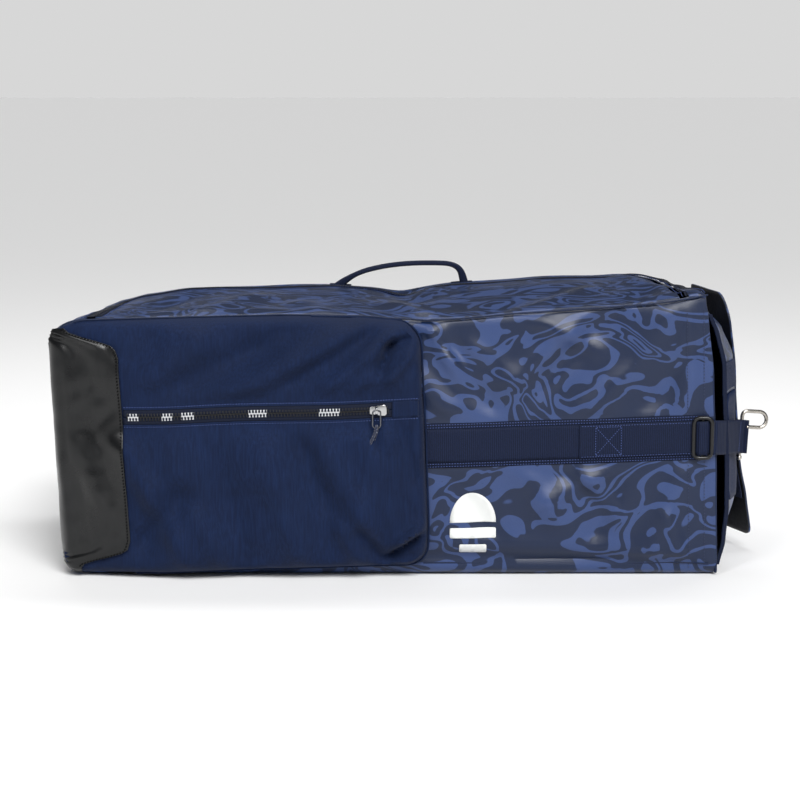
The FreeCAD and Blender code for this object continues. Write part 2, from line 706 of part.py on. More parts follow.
def release_rods():
    """A rod down each inner tube, joined by a cross bar behind the button."""
    frame = box(353.8, 357, 132.6, 136.4, 86.6, 203.4)
    for z in RAIL_HEIGHTS.values():
        frame = frame.fuse(Part.makeCylinder(1.6, 577, V(-222, RAIL_Y, z), V(1, 0, 0)))
    return frame


def lock_plugs():
    """Plastic plugs at the foot of each inner tube, which hold its lock pins."""
    wide, deep = TUBE_STAGES["inner"]
    plugs = [
        box(-252, -228, RAIL_Y - deep / 2 + TUBE_WALL + 0.6, RAIL_Y + deep / 2 - TUBE_WALL - 0.6,
            z - wide / 2 + TUBE_WALL + 0.6, z + wide / 2 - TUBE_WALL - 0.6)
        for z in RAIL_HEIGHTS.values()
    ]
    return Part.makeCompound(plugs)


# ---------------------------------------------------------------- wheels
def wheel_cylinder(radius, low, high):
    return Part.makeCylinder(radius, high - low, V(WHEEL_X, WHEEL_Y, low), V(0, 0, 1))


def wheel_housing(height):
    """A corner block with a wheel arch, open to the end and to the back."""
    block = box(X_WHEEL_END + 1.5, HOUSING_RIGHT, HOUSING_FRONT, Y_BACK, height - HOUSING_HALF, height + HOUSING_HALF)
    half = HOUSING_HALF - HOUSING_WALL
    arch = wheel_cylinder(ARCH_RADIUS, height - half, height + half)
    arch = arch.fuse(box(-420, WHEEL_X, WHEEL_Y - ARCH_RADIUS, 200, height - half, height + half))
    arch = arch.fuse(box(-420, WHEEL_X + ARCH_RADIUS, WHEEL_Y, 200, height - half, height + half))
    bore = wheel_cylinder(AXLE_RADIUS, height - HOUSING_HALF - 1, height + HOUSING_HALF + 1)
    return block.cut(arch).cut(bore)


def wheel_tyre(height):
    half = WHEEL_WIDE / 2
    ring = wheel_cylinder(WHEEL_RADIUS, height - half, height + half)
    rims = [e for e in ring.Edges if e.Length > 6 * WHEEL_RADIUS and len(e.Vertexes) == 1]
    ring = ring.makeFillet(4, rims)
    return ring.cut(wheel_cylinder(RIM_RADIUS, height - half - 1, height + half + 1))


def wheel_hub(height):
    half = WHEEL_WIDE / 2
    hub = wheel_cylinder(RIM_RADIUS, height - half, height + half)
    hub = hub.cut(wheel_cylinder(6, height - half - 1, height + half + 1))
    for low, high in ((-half - 1, -half + BEARING_WIDE), (half - BEARING_WIDE, half + 1)):
        hub = hub.cut(wheel_cylinder(BEARING_RADIUS, height + low, height + high))
    for low, high in ((-half - 1, -half + 6), (half - 6, half + 1)):
        dish = wheel_cylinder(25, height + low, height + high)
        hub = hub.cut(dish.cut(wheel_cylinder(15, height + low - 1, height + high + 1)))
    return hub


def wheel_bearings(height):
    half = WHEEL_WIDE / 2
    rings = []
    for low, high in ((-half, -half + BEARING_WIDE), (half - BEARING_WIDE, half)):
        ring = wheel_cylinder(BEARING_RADIUS, height + low, height + high)
        rings.append(ring.cut(wheel_cylinder(AXLE_RADIUS + 0.05, height + low - 1, height + high + 1)))
    return Part.makeCompound(rings)


def wheel_axle(height):
    """A pin through both walls, with a head at each end."""
    reach = HOUSING_HALF
    pin = wheel_cylinder(AXLE_RADIUS, height - reach, height + reach)
    for low in (-reach - 2, reach):
        pin = pin.fuse(wheel_cylinder(6.5, height + low, height + low + 2))
    return pin


# ---------------------------------------------------------------- skid rails
def screw_places():
    return [(x, z) for z in SKID_HEIGHTS.values() for x in SCREW_PLACES]


def skid_rail(height):
    plan = [
        (RAIL_LEFT, Y_BACK), (RAIL_RIGHT, Y_BACK),
        (RAIL_RIGHT - 14, Y_BACK + SKID_HIGH), (RAIL_LEFT + 14, Y_BACK + SKID_HIGH),
    ]
    rail = slab(plan, [0, 0, 4, 4], "XY", height - SKID_HALF, height + SKID_HALF)
    for x in SCREW_PLACES:
        rail = rail.cut(Part.makeCylinder(2, 30, V(x, Y_BACK - 5, height), V(0, 1, 0)))
        rail = rail.cut(Part.makeCylinder(4.2, 10, V(x, Y_BACK + 4, height), V(0, 1, 0)))
    return rail


def skid_rail_screws():
    screws = []
    for x, z in screw_places():
        shank = Part.makeCylinder(2, 11, V(x, Y_BACK - 7, z), V(0, 1, 0))
        head = Part.makeCylinder(4, 2.5, V(x, Y_BACK + 4, z), V(0, 1, 0))
        screws.append(shank.fuse(head))
    return Part.makeCompound(screws)


# ---------------------------------------------------------------- all the pieces
def all_parts():
    parts = {
        "front_panel": front_panel(),
        "back_cover": back_cover(),
        "lower_side_panel": lower_side_panel(),
        "base_end_panel": base_end_panel(),
        "mouth_end_panel": mouth_end_panel(),
        "rear_top_strip": rear_top_strip(),
        "lid_panel": lid_panel(),
        "main_zip_lid_tape": main_zip_lid_tape(),
        "main_zip_lid_teeth": main_zip_lid_teeth(),
        "main_zip_body_tape": main_zip_body_tape(),
        "main_zip_body_teeth": main_zip_body_teeth(),
        "main_zip_slider": main_zip_slider(),
        "main_zip_pull": main_zip_pull(),
        "end_guard": end_guard(),
        "front_badge": front_badge(),
        "front_welts": front_welts(),
        "front_pocket": front_pocket(),
        "pocket_zip_tapes": pocket_zip_tapes(),
        "pocket_zip_teeth": pocket_zip_teeth(),
        "pocket_zip_garage": pocket_zip_garage(),
        "pocket_zip_slider": pocket_zip_slider(),
        "pocket_zip_pull": pocket_zip_pull(),
        "pull_cord_left": pull_cord("left"),
        "pull_cord_right": pull_cord("right"),
        "strap_base": strap_base(),
        "strap_webbing": strap_webbing(),
        "strap_adjuster": strap_adjuster(),
        "adjuster_webbing": adjuster_webbing(),
        "strap_tongue": strap_tongue(),
        "g_hook": g_hook(),
        "end_slip_pocket": end_slip_pocket(),
        "end_patch": end_patch(),
        "end_loop_tape": end_loop_tape(),
        "end_flap": end_flap(),
        "flap_hook_tape": flap_hook_tape(),
        "flap_seam": flap_seam(),
        "grab_handle": grab_handle(),
        "handle_anchors": handle_anchors(),
        "frame_sheet": frame_sheet(),
        "trolley_foot": trolley_foot(),
        "trolley_head": trolley_head(),
        "trolley_grip": trolley_grip(),
        "grip_button": grip_button(),
        "release_rods": release_rods(),
        "lock_plugs": lock_plugs(),
        "skid_rail_screws": skid_rail_screws(),
    }
    parts["outer_tubes"] = Part.makeCompound([rail_tube("outer", rail) for rail in RAIL_HEIGHTS])
    parts["mid_tubes"] = Part.makeCompound([rail_tube("mid", rail) for rail in RAIL_HEIGHTS])
    parts["inner_tubes"] = Part.makeCompound([rail_tube("inner", rail) for rail in RAIL_HEIGHTS])
    for side, height in WHEEL_HEIGHTS.items():
        parts["wheel_housing_" + side] = wheel_housing(height)
        parts["wheel_tyre_" + side] = wheel_tyre(height)
        parts["wheel_hub_" + side] = wheel_hub(height)
        parts["wheel_bearings_" + side] = wheel_bearings(height)
    parts["wheel_axles"] = Part.makeCompound([wheel_axle(h) for h in WHEEL_HEIGHTS.values()])
    parts["skid_rails"] = Part.makeCompound([skid_rail(h) for h in SKID_HEIGHTS.values()])
    return parts


os.makedirs("parts", exist_ok=True)
for name, shape in all_parts().items():
    if not shape.isValid() or not shape.Solids:
        print("CHECK", name, "valid", shape.isValid(), "solids", len(shape.Solids))
    shape.exportStep("parts/" + name + ".step")
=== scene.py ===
"""Rolling duffel bag: the sewn, moulded and metal pieces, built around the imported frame.

Lengths are worked in millimetres and turned to metres when a piece is made.
+X runs to the mouth end, +Y to the trolley side and +Z up.
"""
import math

import bmesh
import bpy
from mathutils import Matrix, Vector, noise


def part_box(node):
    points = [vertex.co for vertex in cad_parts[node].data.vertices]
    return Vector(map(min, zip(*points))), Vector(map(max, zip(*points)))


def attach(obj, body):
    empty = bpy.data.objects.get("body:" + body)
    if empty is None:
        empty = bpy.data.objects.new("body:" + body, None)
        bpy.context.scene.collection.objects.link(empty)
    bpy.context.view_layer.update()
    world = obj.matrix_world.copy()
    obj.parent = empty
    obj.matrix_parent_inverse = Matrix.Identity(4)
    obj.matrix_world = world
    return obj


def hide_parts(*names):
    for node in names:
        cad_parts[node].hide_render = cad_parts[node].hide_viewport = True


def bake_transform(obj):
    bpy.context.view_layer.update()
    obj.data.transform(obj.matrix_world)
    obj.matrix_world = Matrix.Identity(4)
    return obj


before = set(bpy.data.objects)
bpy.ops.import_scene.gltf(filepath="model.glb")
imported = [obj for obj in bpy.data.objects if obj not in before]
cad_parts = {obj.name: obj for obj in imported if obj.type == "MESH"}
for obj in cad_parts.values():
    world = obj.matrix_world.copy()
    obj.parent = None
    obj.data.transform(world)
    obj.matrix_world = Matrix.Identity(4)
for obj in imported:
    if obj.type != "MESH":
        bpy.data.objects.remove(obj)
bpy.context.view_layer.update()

MM = 0.001


# ---------------------------------------------------------------- numbers
def clamp(t, low=0.0, high=1.0):
    return max(low, min(high, t))


def smooth(t):
    t = clamp(t)
    return t * t * (3 - 2 * t)


def lerp(a, b, t):
    return a + (b - a) * t


def spread(a, b, count):
    """Even steps from a to b, with both ends."""
    return [lerp(a, b, i / count) for i in range(count + 1)]


def along(x, points):
    """A smooth curve through (x, value) points, level before the first and after the last."""
    if x <= points[0][0]:
        return points[0][1]
    for (x0, v0), (x1, v1) in zip(points, points[1:]):
        if x <= x1:
            return lerp(v0, v1, smooth((x - x0) / (x1 - x0)) * 0.5 + 0.5 * (x - x0) / (x1 - x0))
    return points[-1][1]


def folds(u, v, creases):
    """How far soft folds lift a sheet at (u, v): each is (u0, v0, u1, v1, half width, rise)."""
    lift = 0.0
    for u0, v0, u1, v1, width, rise in creases:
        du, dv = u1 - u0, v1 - v0
        t = ((u - u0) * du + (v - v0) * dv) / (du * du + dv * dv)
        if t < -0.5 or t > 1.5:
            continue
        side = ((u - u0) * dv - (v - v0) * du) / math.hypot(du, dv)
        if abs(side) > 3 * width:
            continue
        fade = smooth((t + 0.5) / 0.6) * smooth((1.5 - t) / 0.6)
        lift += rise * fade * math.exp(-(side / width) ** 2)
    return lift


def waves(x, y, z, size, seed):
    return noise.noise(Vector((x / size + seed, y / size, z / size)))


# ---------------------------------------------------------------- the bag's skin
FRONT, BACK = -152.5, 152.5
HALF_LONG, BLOCK_HIGH = 362.5, 293
LONG = 725
TOP_RISE = 26  # how much higher the straight top is at the mouth end
LEFT_FOOT, LEFT_HEAD = -352.5, -HALF_LONG
FOLD_LEAN = math.radians(1.8)  # the strap and the pocket's zip rise with the top
EDGE_DROP = [  # how far the front top edge sags below a straight line
    (-352, 0), (-325, -5), (-200, -4), (-113, -3), (-30, 1), (20, 6), (51, 9), (84, 8),
    (150, 4.5), (230, 2), (282, 0), (309, -2), (333, -5), (349, -8), (362, -9),
]
REAR_RISE = [  # the same for the zip along the rear of the top, as a rise
    (-362, -22), (-340, -12), (-322, -6), (-290, 1), (-238, 6), (-188, 6), (-66, 5), (24, -4),
    (97, 1), (193, 5), (311, 3), (335, -2), (357, -11),
]
RIGHT_EDGE = [(0, 369.5), (110, 366.5), (230, 360.5), (290, 353.5), (306, 350.5)]
TOP_CREASES = [
    (60, -150, 20, -60, 14, 4.5), (110, -150, 150, -70, 16, -4), (-60, -150, -90, -60, 18, 3.5),
    (180, -130, 240, -20, 18, 4), (260, -150, 300, -60, 14, -3.5), (-200, -140, -150, 0, 22, 4),
    (-280, -120, -240, 20, 20, -4), (24, 110, 40, 10, 22, -5), (300, 90, 330, -40, 16, 3),
    (-120, -145, 60, -132, 12, 2.5), (-300, -140, -140, -128, 10, 2.5), (210, -146, 320, -126, 11, 2.5),
]
FRONT_CREASES = [
    (50, 280, 82, 226, 9, 5.5), (60, 262, 120, 232, 9, -3.5), (40, 222, 72, 186, 12, 3.5), (96, 250, 137, 222, 12, 4),
    (84, 226, 120, 190, 12, -3.0), (169, 286, 223, 258, 10, 3.6), (240, 284, 178, 216, 13, -3.6),
    (214, 284, 150, 228, 11, 2.6), (306, 290, 226, 180, 12, 4.6), (288, 270, 236, 200, 9, -3.0),
    (336, 250, 282, 178, 12, -3.0), (330, 286, 327, 190, 8, 2.6), (253, 222, 207, 175, 9, 2.6),
    (196, 124, 232, 84, 9, -4.0), (250, 126, 180, 84, 12, 3.6), (214, 118, 252, 72, 10, 3.0),
    (258, 110, 236, 50, 10, -3.2), (150, 122, 196, 60, 14, 2.6), (60, 128, 116, 56, 14, -2.6),
    (330, 120, 300, 40, 14, 3.0), (312, 66, 328, 28, 9, 3.0), (60, 22, 330, 15, 7, -3.5), (80, 40, 300, 30, 10, 2.0),
]


def left_edge(z):
    return lerp(LEFT_FOOT, LEFT_HEAD, clamp(z / 280))


def straight_top(x):
    return 293.0 + x * TOP_RISE / LONG


def top_height(x, y):
    """Height of the top of the bag, with its sag."""
    t = smooth((y - FRONT) / 262)
    base = straight_top(x) + lerp(-along(x, EDGE_DROP), along(x, REAR_RISE), t)
    edge = smooth((y - FRONT) / 30)
    soft = 1.3 * folds(x, y, TOP_CREASES) + 2.0 * waves(x, y, 0, 70, 3.1)
    return base + edge * soft


STRAP_MID, STRAP_LEAN = (197.0, 151.6), math.tan(FOLD_LEAN)


def strap_line(x):
    return STRAP_MID[1] + (x - STRAP_MID[0]) * STRAP_LEAN


def front_bulge(x, z):
    """How far the front stands out past its flat plane."""
    height = straight_top(x) - along(x, EDGE_DROP)
    across = math.sin(math.pi * clamp((x + 352) / 712)) ** 0.5
    up = math.sin(math.pi * clamp(z / height)) ** 0.6
    fullness = 4.5 * across * up
    calm = smooth((362 - x) / 30) * smooth(z / 14) * smooth((height - z) / 12)
    calm *= smooth((abs(z - strap_line(x)) - 22) / 20)
    return fullness + calm * (1.75 * folds(x, z, FRONT_CREASES) + 2.6 * waves(x, 0, z, 74, 7.7))


def front_y(x, z):
    return FRONT - front_bulge(x, z)


CORNERS = {  # radius of each edge of the skin, by the plane it is seen in
    "yz": {(0, 1): 5, (1, 1): 20, (1, 0): 14, (0, 0): 15},
    "xz": {(0, 0): 26, (0, 1): 20, (1, 1): 5, (1, 0): 6},
    "xy": {(0, 0): 13, (0, 1): 24, (1, 0): 3, (1, 1): 18},
}


def round_corners(p, q, low_p, high_p, low_q, high_q, radii):
    """Takes a point of a square-cornered section to the same section with round corners."""
    for (side_p, side_q), r in radii.items():
        cp = high_p - r if side_p else low_p + r
        cq = high_q - r if side_q else low_q + r
        dp = (p - cp) * (1 if side_p else -1)
        dq = (q - cq) * (1 if side_q else -1)
        if dp > 0 and dq > 0:
            shrink = max(dp, dq) / math.hypot(dp, dq)
            p = cp + dp * shrink * (1 if side_p else -1)
            q = cq + dq * shrink * (1 if side_q else -1)
    return p, q


def skin_point(x, y, z):
    """A point of a plain block 725 x 305 x 293 taken to the bag's sagging skin."""
    y, z = round_corners(y, z, FRONT, BACK, 0, BLOCK_HIGH, CORNERS["yz"])
    x, z = round_corners(x, z, -HALF_LONG, HALF_LONG, 0, BLOCK_HIGH, CORNERS["xz"])
    x, y = round_corners(x, y, -HALF_LONG, HALF_LONG, FRONT, BACK, CORNERS["xy"])
    share = z / BLOCK_HIGH
    z = share * lerp(straight_top(x), top_height(x, y), smooth((share - 0.3) / 0.7))
    end = clamp((x + HALF_LONG) / LONG)
    x += (1 - end) * (left_edge(z) - LEFT_HEAD) + end * (along(z, RIGHT_EDGE) - HALF_LONG)
    front_share = clamp((80 - y + FRONT) / 80)
    y -= front_bulge(x, z) * front_share
    back_share = clamp((y - BACK + 80) / 80)
    y += 2.0 * back_share * math.sin(math.pi * share) * math.sin(math.pi * end)
    return Vector((x, y, z))


def block(x0, x1, y0, y1, z0, z1, cell):
    """A block whose faces are cut into a grid of cells."""
    bm = bmesh.new()
    bmesh.ops.create_cube(bm, size=1.0)
    size = Vector((x1 - x0, y1 - y0, z1 - z0))
    middle = Vector((x0 + x1, y0 + y1, z0 + z1)) / 2
    bmesh.ops.transform(bm, matrix=Matrix.Translation(middle) @ Matrix.Diagonal(size).to_4x4(), verts=bm.verts)
    for axis in range(3):
        run = [e for e in bm.edges if abs((e.verts[1].co - e.verts[0].co).normalized()[axis]) > 0.9]
        bmesh.ops.subdivide_edges(bm, edges=run, cuts=max(1, round(size[axis] / cell) - 1), use_grid_fill=True)
    return bm


# ---------------------------------------------------------------- materials
def srgb(code):
    """Linear colour from an sRGB hex code."""
    channels = [int(code[i:i + 2], 16) / 255 for i in (1, 3, 5)]
    linear = [c / 12.92 if c <= 0.04045 else ((c + 0.055) / 1.055) ** 2.4 for c in channels]
    return (*linear, 1.0)


def add(tree, kind, inputs=(), **settings):
    """Adds a node. inputs maps a socket to a value or to another node's output."""
    n = tree.nodes.new("ShaderNode" + kind)
    for key, value in settings.items():
        setattr(n, key, value)
    for key, value in dict(inputs).items():
        if isinstance(value, bpy.types.NodeSocket):
            tree.links.new(value, n.inputs[key])
        else:
            n.inputs[key].default_value = value
    return n


def finish_of(name, shader):
    """A new material whose Principled shader has these sockets set."""
    m = bpy.data.materials.new(name)
    m.use_nodes = True
    m.node_tree.nodes.clear()
    surface = add(m.node_tree, "BsdfPrincipled", shader)
    add(m.node_tree, "OutputMaterial", {"Surface": surface.outputs[0]})
    return m, m.node_tree, surface


def place_on(tree, where):
    """Where a pattern is read from: the object, or the cloth at rest."""
    if where == "object":
        return add(tree, "TexCoord").outputs["Object"]
    return add(tree, "Attribute", attribute_name=where).outputs["Vector"]


def emboss(tree, surface, height, strength, distance):
    """Drives the shader's normal from a height. distance is in metres."""
    bump = add(tree, "Bump", {"Height": height, "Strength": strength, "Distance": distance})
    tree.links.new(bump.outputs[0], surface.inputs["Normal"])


def ramp(tree, fac, stops, interpolation="LINEAR"):
    n = add(tree, "ValToRGB", {"Fac": fac})
    n.color_ramp.interpolation = interpolation
    while len(n.color_ramp.elements) < len(stops):
        n.color_ramp.elements.new(0.5)
    for element, (position, colour) in zip(n.color_ramp.elements, stops):
        element.position = position
        element.color = colour if isinstance(colour, tuple) else (colour, colour, colour, 1)
    return n.outputs["Color"]


def mix(tree, fac, a, b, blend="MIX"):
    n = add(tree, "Mix", data_type="RGBA", blend_type=blend)
    for key, value in (("Factor", fac), ("A", a), ("B", b)):
        socket = [s for s in n.inputs if s.name == key and (key == "Factor" or s.type == "RGBA")][0]
        if isinstance(value, bpy.types.NodeSocket):
            tree.links.new(value, socket)
        else:
            socket.default_value = value
    return [s for s in n.outputs if s.type == "RGBA"][0]


def maths(tree, operation, a, b=0.0):
    return add(tree, "Math", {0: a, 1: b}, operation=operation).outputs[0]


def vector_maths(tree, operation, a, b):
    return add(tree, "VectorMath", {0: a, 1: b}, operation=operation).outputs[0]


def swept_by(tree, spot, scale, roughness, reach):
    """Moves a pattern's points about by a soft noise, up to half of reach each way."""
    push = add(tree, "TexNoise", {"Vector": spot, "Scale": scale, "Detail": 1.0, "Roughness": roughness})
    centred = vector_maths(tree, "SUBTRACT", push.outputs["Color"], (0.5, 0.5, 0.5))
    return vector_maths(tree, "ADD", spot, vector_maths(tree, "MULTIPLY", centred, (reach, reach, reach)))


PRINT_DARK, PRINT_LIGHT, PRINT_GRAIN = "#0a1a37", "#304370", "#122442"


def patterned_tarpaulin(name, where="rest"):
    """PVC-coated polyester, printed with a marbled swirl under a satin coat: soft wide highlights."""
    m, tree, surface = finish_of(name, {"Roughness": 0.38, "IOR": 1.5, "Specular IOR Level": 0.44})
    spot = place_on(tree, where)
    # The print's blobs are 10 to 35 mm across, and a little longer along the bag.
    drawn = vector_maths(tree, "MULTIPLY", spot, (0.86, 1.2, 1.15))
    swept = swept_by(tree, swept_by(tree, drawn, 9.0, 0.4, 0.34), 17.0, 0.35, 0.11)
    swirl = add(tree, "TexNoise", {"Vector": swept, "Scale": 13.0, "Detail": 0.6, "Roughness": 0.4})
    rings = maths(tree, "SINE", maths(tree, "MULTIPLY", swirl.outputs["Fac"], 34.0))
    blobs = ramp(tree, maths(tree, "ADD", maths(tree, "MULTIPLY", rings, 0.5), 0.5), [(0.62, 0.0), (0.68, 1.0)])
    # Halftone grain of the print, drawn at 1.2 mm so that it shows.
    grain = add(tree, "TexNoise", {"Vector": spot, "Scale": 900.0, "Detail": 1.0})
    tone = mix(tree, blobs, srgb(PRINT_DARK), srgb(PRINT_LIGHT))
    tone = mix(tree, maths(tree, "MULTIPLY", grain.outputs["Fac"], 0.3), tone, srgb(PRINT_GRAIN))
    tree.links.new(tone, surface.inputs["Base Color"])
    # The base cloth shows through the coat as a faint 1.1 mm weave.
    emboss(tree, surface, weave_height(tree, spot, 1.1), 0.12, 0.0003)
    rough = ramp(tree, add(tree, "TexNoise", {"Vector": spot, "Scale": 22.0, "Detail": 3.0}).outputs["Fac"],
                 [(0.3, 0.34), (0.7, 0.42)])
    tree.links.new(rough, surface.inputs["Roughness"])
    return m


def weave_height(tree, spot, pitch):
    """Over and under of a plain weave whose threads are pitch millimetres apart."""
    turns = 2 * math.pi / (pitch * MM)
    parts = add(tree, "SeparateXYZ", {0: spot})
    lanes = [maths(tree, "SINE", maths(tree, "MULTIPLY", parts.outputs[i], turns)) for i in range(3)]
    across = maths(tree, "ADD", lanes[0], lanes[1])
    return maths(tree, "MULTIPLY", across, lanes[2])


def woven_polyester(name, where="rest"):
    """Matt plain-woven polyester: dull, with a fine upright grain."""
    m, tree, surface = finish_of(name, {"Roughness": 0.75, "IOR": 1.5, "Sheen Weight": 0.04, "Sheen Roughness": 0.5,
                                        "Specular IOR Level": 0.12})
    spot = place_on(tree, where)
    # Threads are drawn 1.3 mm apart, about twice the real spacing, so that they show.
    weave = weave_height(tree, spot, 1.3)
    slub = add(tree, "TexNoise", {"Vector": vector_maths(tree, "MULTIPLY", spot, (1.0, 1.0, 0.06)),
                                  "Scale": 520.0, "Detail": 2.0})
    cloud = add(tree, "TexNoise", {"Vector": spot, "Scale": 14.0, "Detail": 3.0})
    tone = mix(tree, ramp(tree, slub.outputs["Fac"], [(0.35, 0.0), (0.7, 1.0)]), srgb("#0d1a36"), srgb("#122243"))
    tone = mix(tree, ramp(tree, cloud.outputs["Fac"], [(0.3, 0.0), (0.75, 0.5)]), tone, srgb("#0c162c"))
    tree.links.new(tone, surface.inputs["Base Color"])
    height = maths(tree, "ADD", maths(tree, "MULTIPLY", weave, 0.4), slub.outputs["Fac"])
    emboss(tree, surface, height, 0.35, 0.0004)
    return m


def coated_black(name, where="object"):
    """Black coated cloth with a satin face: long soft highlights and a faint orange peel."""
    m, tree, surface = finish_of(name, {"Roughness": 0.28, "IOR": 1.5, "Specular IOR Level": 0.4})
    spot = place_on(tree, where)
    cloud = add(tree, "TexNoise", {"Vector": spot, "Scale": 30.0, "Detail": 4.0})
    tone = mix(tree, cloud.outputs["Fac"], srgb("#090a0b"), srgb("#121315"))
    tree.links.new(tone, surface.inputs["Base Color"])
    tree.links.new(ramp(tree, cloud.outputs["Fac"], [(0.3, 0.24), (0.7, 0.34)]), surface.inputs["Roughness"])
    peel = add(tree, "TexNoise", {"Vector": spot, "Scale": 700.0, "Detail": 2.0})
    emboss(tree, surface, peel.outputs["Fac"], 0.12, 0.0004)
    return m


def webbing(name, dark="#0d1426", light="#16203c", pitch=2.1):
    """Woven webbing: ribs across its width, pitch millimetres apart."""
    m, tree, surface = finish_of(name, {"Roughness": 0.7, "IOR": 1.5, "Sheen Weight": 0.03, "Sheen Roughness": 0.4,
                                        "Specular IOR Level": 0.15})
    spot = place_on(tree, "object")
    run = add(tree, "VectorMath", {0: spot, 1: (1.0, 0.0, 0.0)}, operation="DOT_PRODUCT").outputs["Value"]
    rib = maths(tree, "SINE", maths(tree, "MULTIPLY", run, 2 * math.pi / (pitch * MM)))
    fuzz = add(tree, "TexNoise", {"Vector": spot, "Scale": 800.0, "Detail": 2.0})
    level = maths(tree, "ADD", maths(tree, "MULTIPLY", rib, 0.35), fuzz.outputs["Fac"])
    tree.links.new(mix(tree, ramp(tree, level, [(0.2, 0.0), (0.9, 1.0)]), srgb(dark), srgb(light)),
                   surface.inputs["Base Color"])
    emboss(tree, surface, level, 0.5, 0.0005)
    return m


def plain(name, low, high, roughness, scale=120.0, bump_strength=0.1, spread=0.08, where="object", **shader):
    """A moulded, rubbery or metal finish with small changes of tone and roughness."""
    words = {k.replace("_", " ").title().replace("Ior", "IOR"): v for k, v in shader.items()}
    m, tree, surface = finish_of(name, {"Roughness": roughness, **words})
    spot = place_on(tree, where)
    speck = add(tree, "TexNoise", {"Vector": spot, "Scale": scale, "Detail": 4.0})
    tree.links.new(mix(tree, speck.outputs["Fac"], srgb(low), srgb(high)), surface.inputs["Base Color"])
    tree.links.new(ramp(tree, speck.outputs["Fac"], [(0.3, max(roughness - spread, 0.04)), (0.7, roughness + spread)]),
                   surface.inputs["Roughness"])
    emboss(tree, surface, speck.outputs["Fac"], bump_strength, 0.0003)
    return m


# Stretches along the zip chain where a silver glint is painted into the teeth's colour (painted highlight).
PAINTED_GLINT_STRETCHES = ((-277, -266), (-240, -228), (-219, -204), (-146, -126), (-70, -47))  # mm along the bag


def teeth_with_painted_glints(name):
    """Black moulded teeth with silver glints painted into their colour, in stretches along the chain: a painted
    highlight.
    """
    m, tree, surface = finish_of(name, {"Roughness": 0.3, "Metallic": 0.0, "IOR": 1.5})
    run = add(tree, "SeparateXYZ", {0: place_on(tree, "object")}).outputs["X"]
    span = maths(tree, "ADD", maths(tree, "MULTIPLY", run, 1 / 0.3), 1.0)
    # Painted highlight: in these stretches the colour turns silver-white and partly metal.
    stops = [(0.0, 0.0)] + [(1 + x / 300, level) for low, high in PAINTED_GLINT_STRETCHES for x, level in ((low, 1.0), (high, 0.0))]
    painted_glint = ramp(tree, span, stops, "CONSTANT")
    tree.links.new(mix(tree, painted_glint, srgb("#101114"), srgb("#dfe0e2")), surface.inputs["Base Color"])
    tree.links.new(maths(tree, "MULTIPLY", painted_glint, 0.6), surface.inputs["Metallic"])
    return m


def flecked_cord(name):
    """Braided cord, navy with pale flecks."""
    m, tree, surface = finish_of(name, {"Roughness": 0.8, "IOR": 1.5, "Sheen Weight": 0.3})
    spot = place_on(tree, "object")
    fleck = add(tree, "TexVoronoi", {"Vector": spot, "Scale": 520.0})
    tone = mix(tree, ramp(tree, fleck.outputs["Distance"], [(0.12, 1.0), (0.2, 0.0)]), srgb("#131c36"), srgb("#c9cfdf"))
    tree.links.new(tone, surface.inputs["Base Color"])
    emboss(tree, surface, fleck.outputs["Distance"], 0.6, 0.0006)
    return m


TARPAULIN = patterned_tarpaulin("Printed PVC-coated tarpaulin")
TARPAULIN_BACK = coated_black("Black PVC-coated tarpaulin", "rest")
GUARD = coated_black("Black coated scuff cloth", "object")
LINING = plain("Black coated lining", "#0c0c0e", "#17171a", 0.55, 300.0, where="rest")
POLYESTER = woven_polyester("Navy plain-woven polyester")
POLYESTER_TRIM = woven_polyester("Navy polyester binding", "object")
WEBBING = webbing("Navy ribbed webbing")
WEBBING_BASE = webbing("Navy flat webbing", "#0c1324", "#131c36", pitch=1.4)
HANDLE_WEB = webbing("Navy folded webbing", "#0d1426", "#151e38", pitch=1.8)
ZIP_TAPE = plain("Woven zip tape", "#0e1320", "#161d31", 0.85, 900.0, 0.3, specular_ior_level=0.2)
# Zip teeth with silver glints painted into their colour in stretches.
TEETH_WITH_PAINTED_GLINTS = teeth_with_painted_glints("Moulded zip teeth with painted glints")
TEETH_PLAIN = plain("Moulded black zip teeth", "#14161c", "#1e2230", 0.35, 200.0)
THREAD = plain("Blue polyester thread", "#2a3a6c", "#3b4f88", 0.6, 900.0)
THREAD_DARK = plain("Dark polyester thread", "#141d35", "#202c50", 0.6, 900.0)
THREAD_BLACK = plain("Black polyester thread", "#030304", "#09090a", 0.7, 900.0, specular_ior_level=0.15)
EDGING = plain("Navy piping", "#0e182e", "#182543", 0.55, 300.0, specular_ior_level=0.2)
SILVER = plain("Polished zinc plate", "#b2b3b5", "#cacaca", 0.14, 60.0, 0.02, 0.04, metallic=1.0)
GUNMETAL = plain("Gunmetal plate", "#5d5f64", "#73757a", 0.25, 80.0, 0.03, 0.05, metallic=1.0)
PEWTER = plain("Dull nickel wire", "#a9a49c", "#c3beb6", 0.26, 80.0, 0.03, 0.05, metallic=1.0)
STEEL = plain("Bright turned steel", "#a8a9ab", "#bdbec0", 0.28, 90.0, 0.03, 0.05, metallic=1.0)
ANODISED = plain("Satin anodised aluminium", "#8f9296", "#9b9ea2", 0.36, 160.0, 0.04, 0.06, metallic=1.0)
MOULDED = plain("Moulded black nylon", "#131315", "#1d1d20", 0.48, 420.0, 0.15)
MOULDED_FINE = plain("Moulded black acetal", "#050506", "#0b0b0d", 0.34, 260.0, 0.05)
SHEET = plain("Pressed black polyethylene sheet", "#131314", "#1f1f21", 0.6, 60.0, 0.1)
TYRE = plain("Moulded polyurethane tyre", "#1a1a1b", "#27272a", 0.6, 240.0, 0.2)
PRINT = plain("White printed film", "#d2d4d2", "#dadbd9", 0.55, 90.0, 0.03)
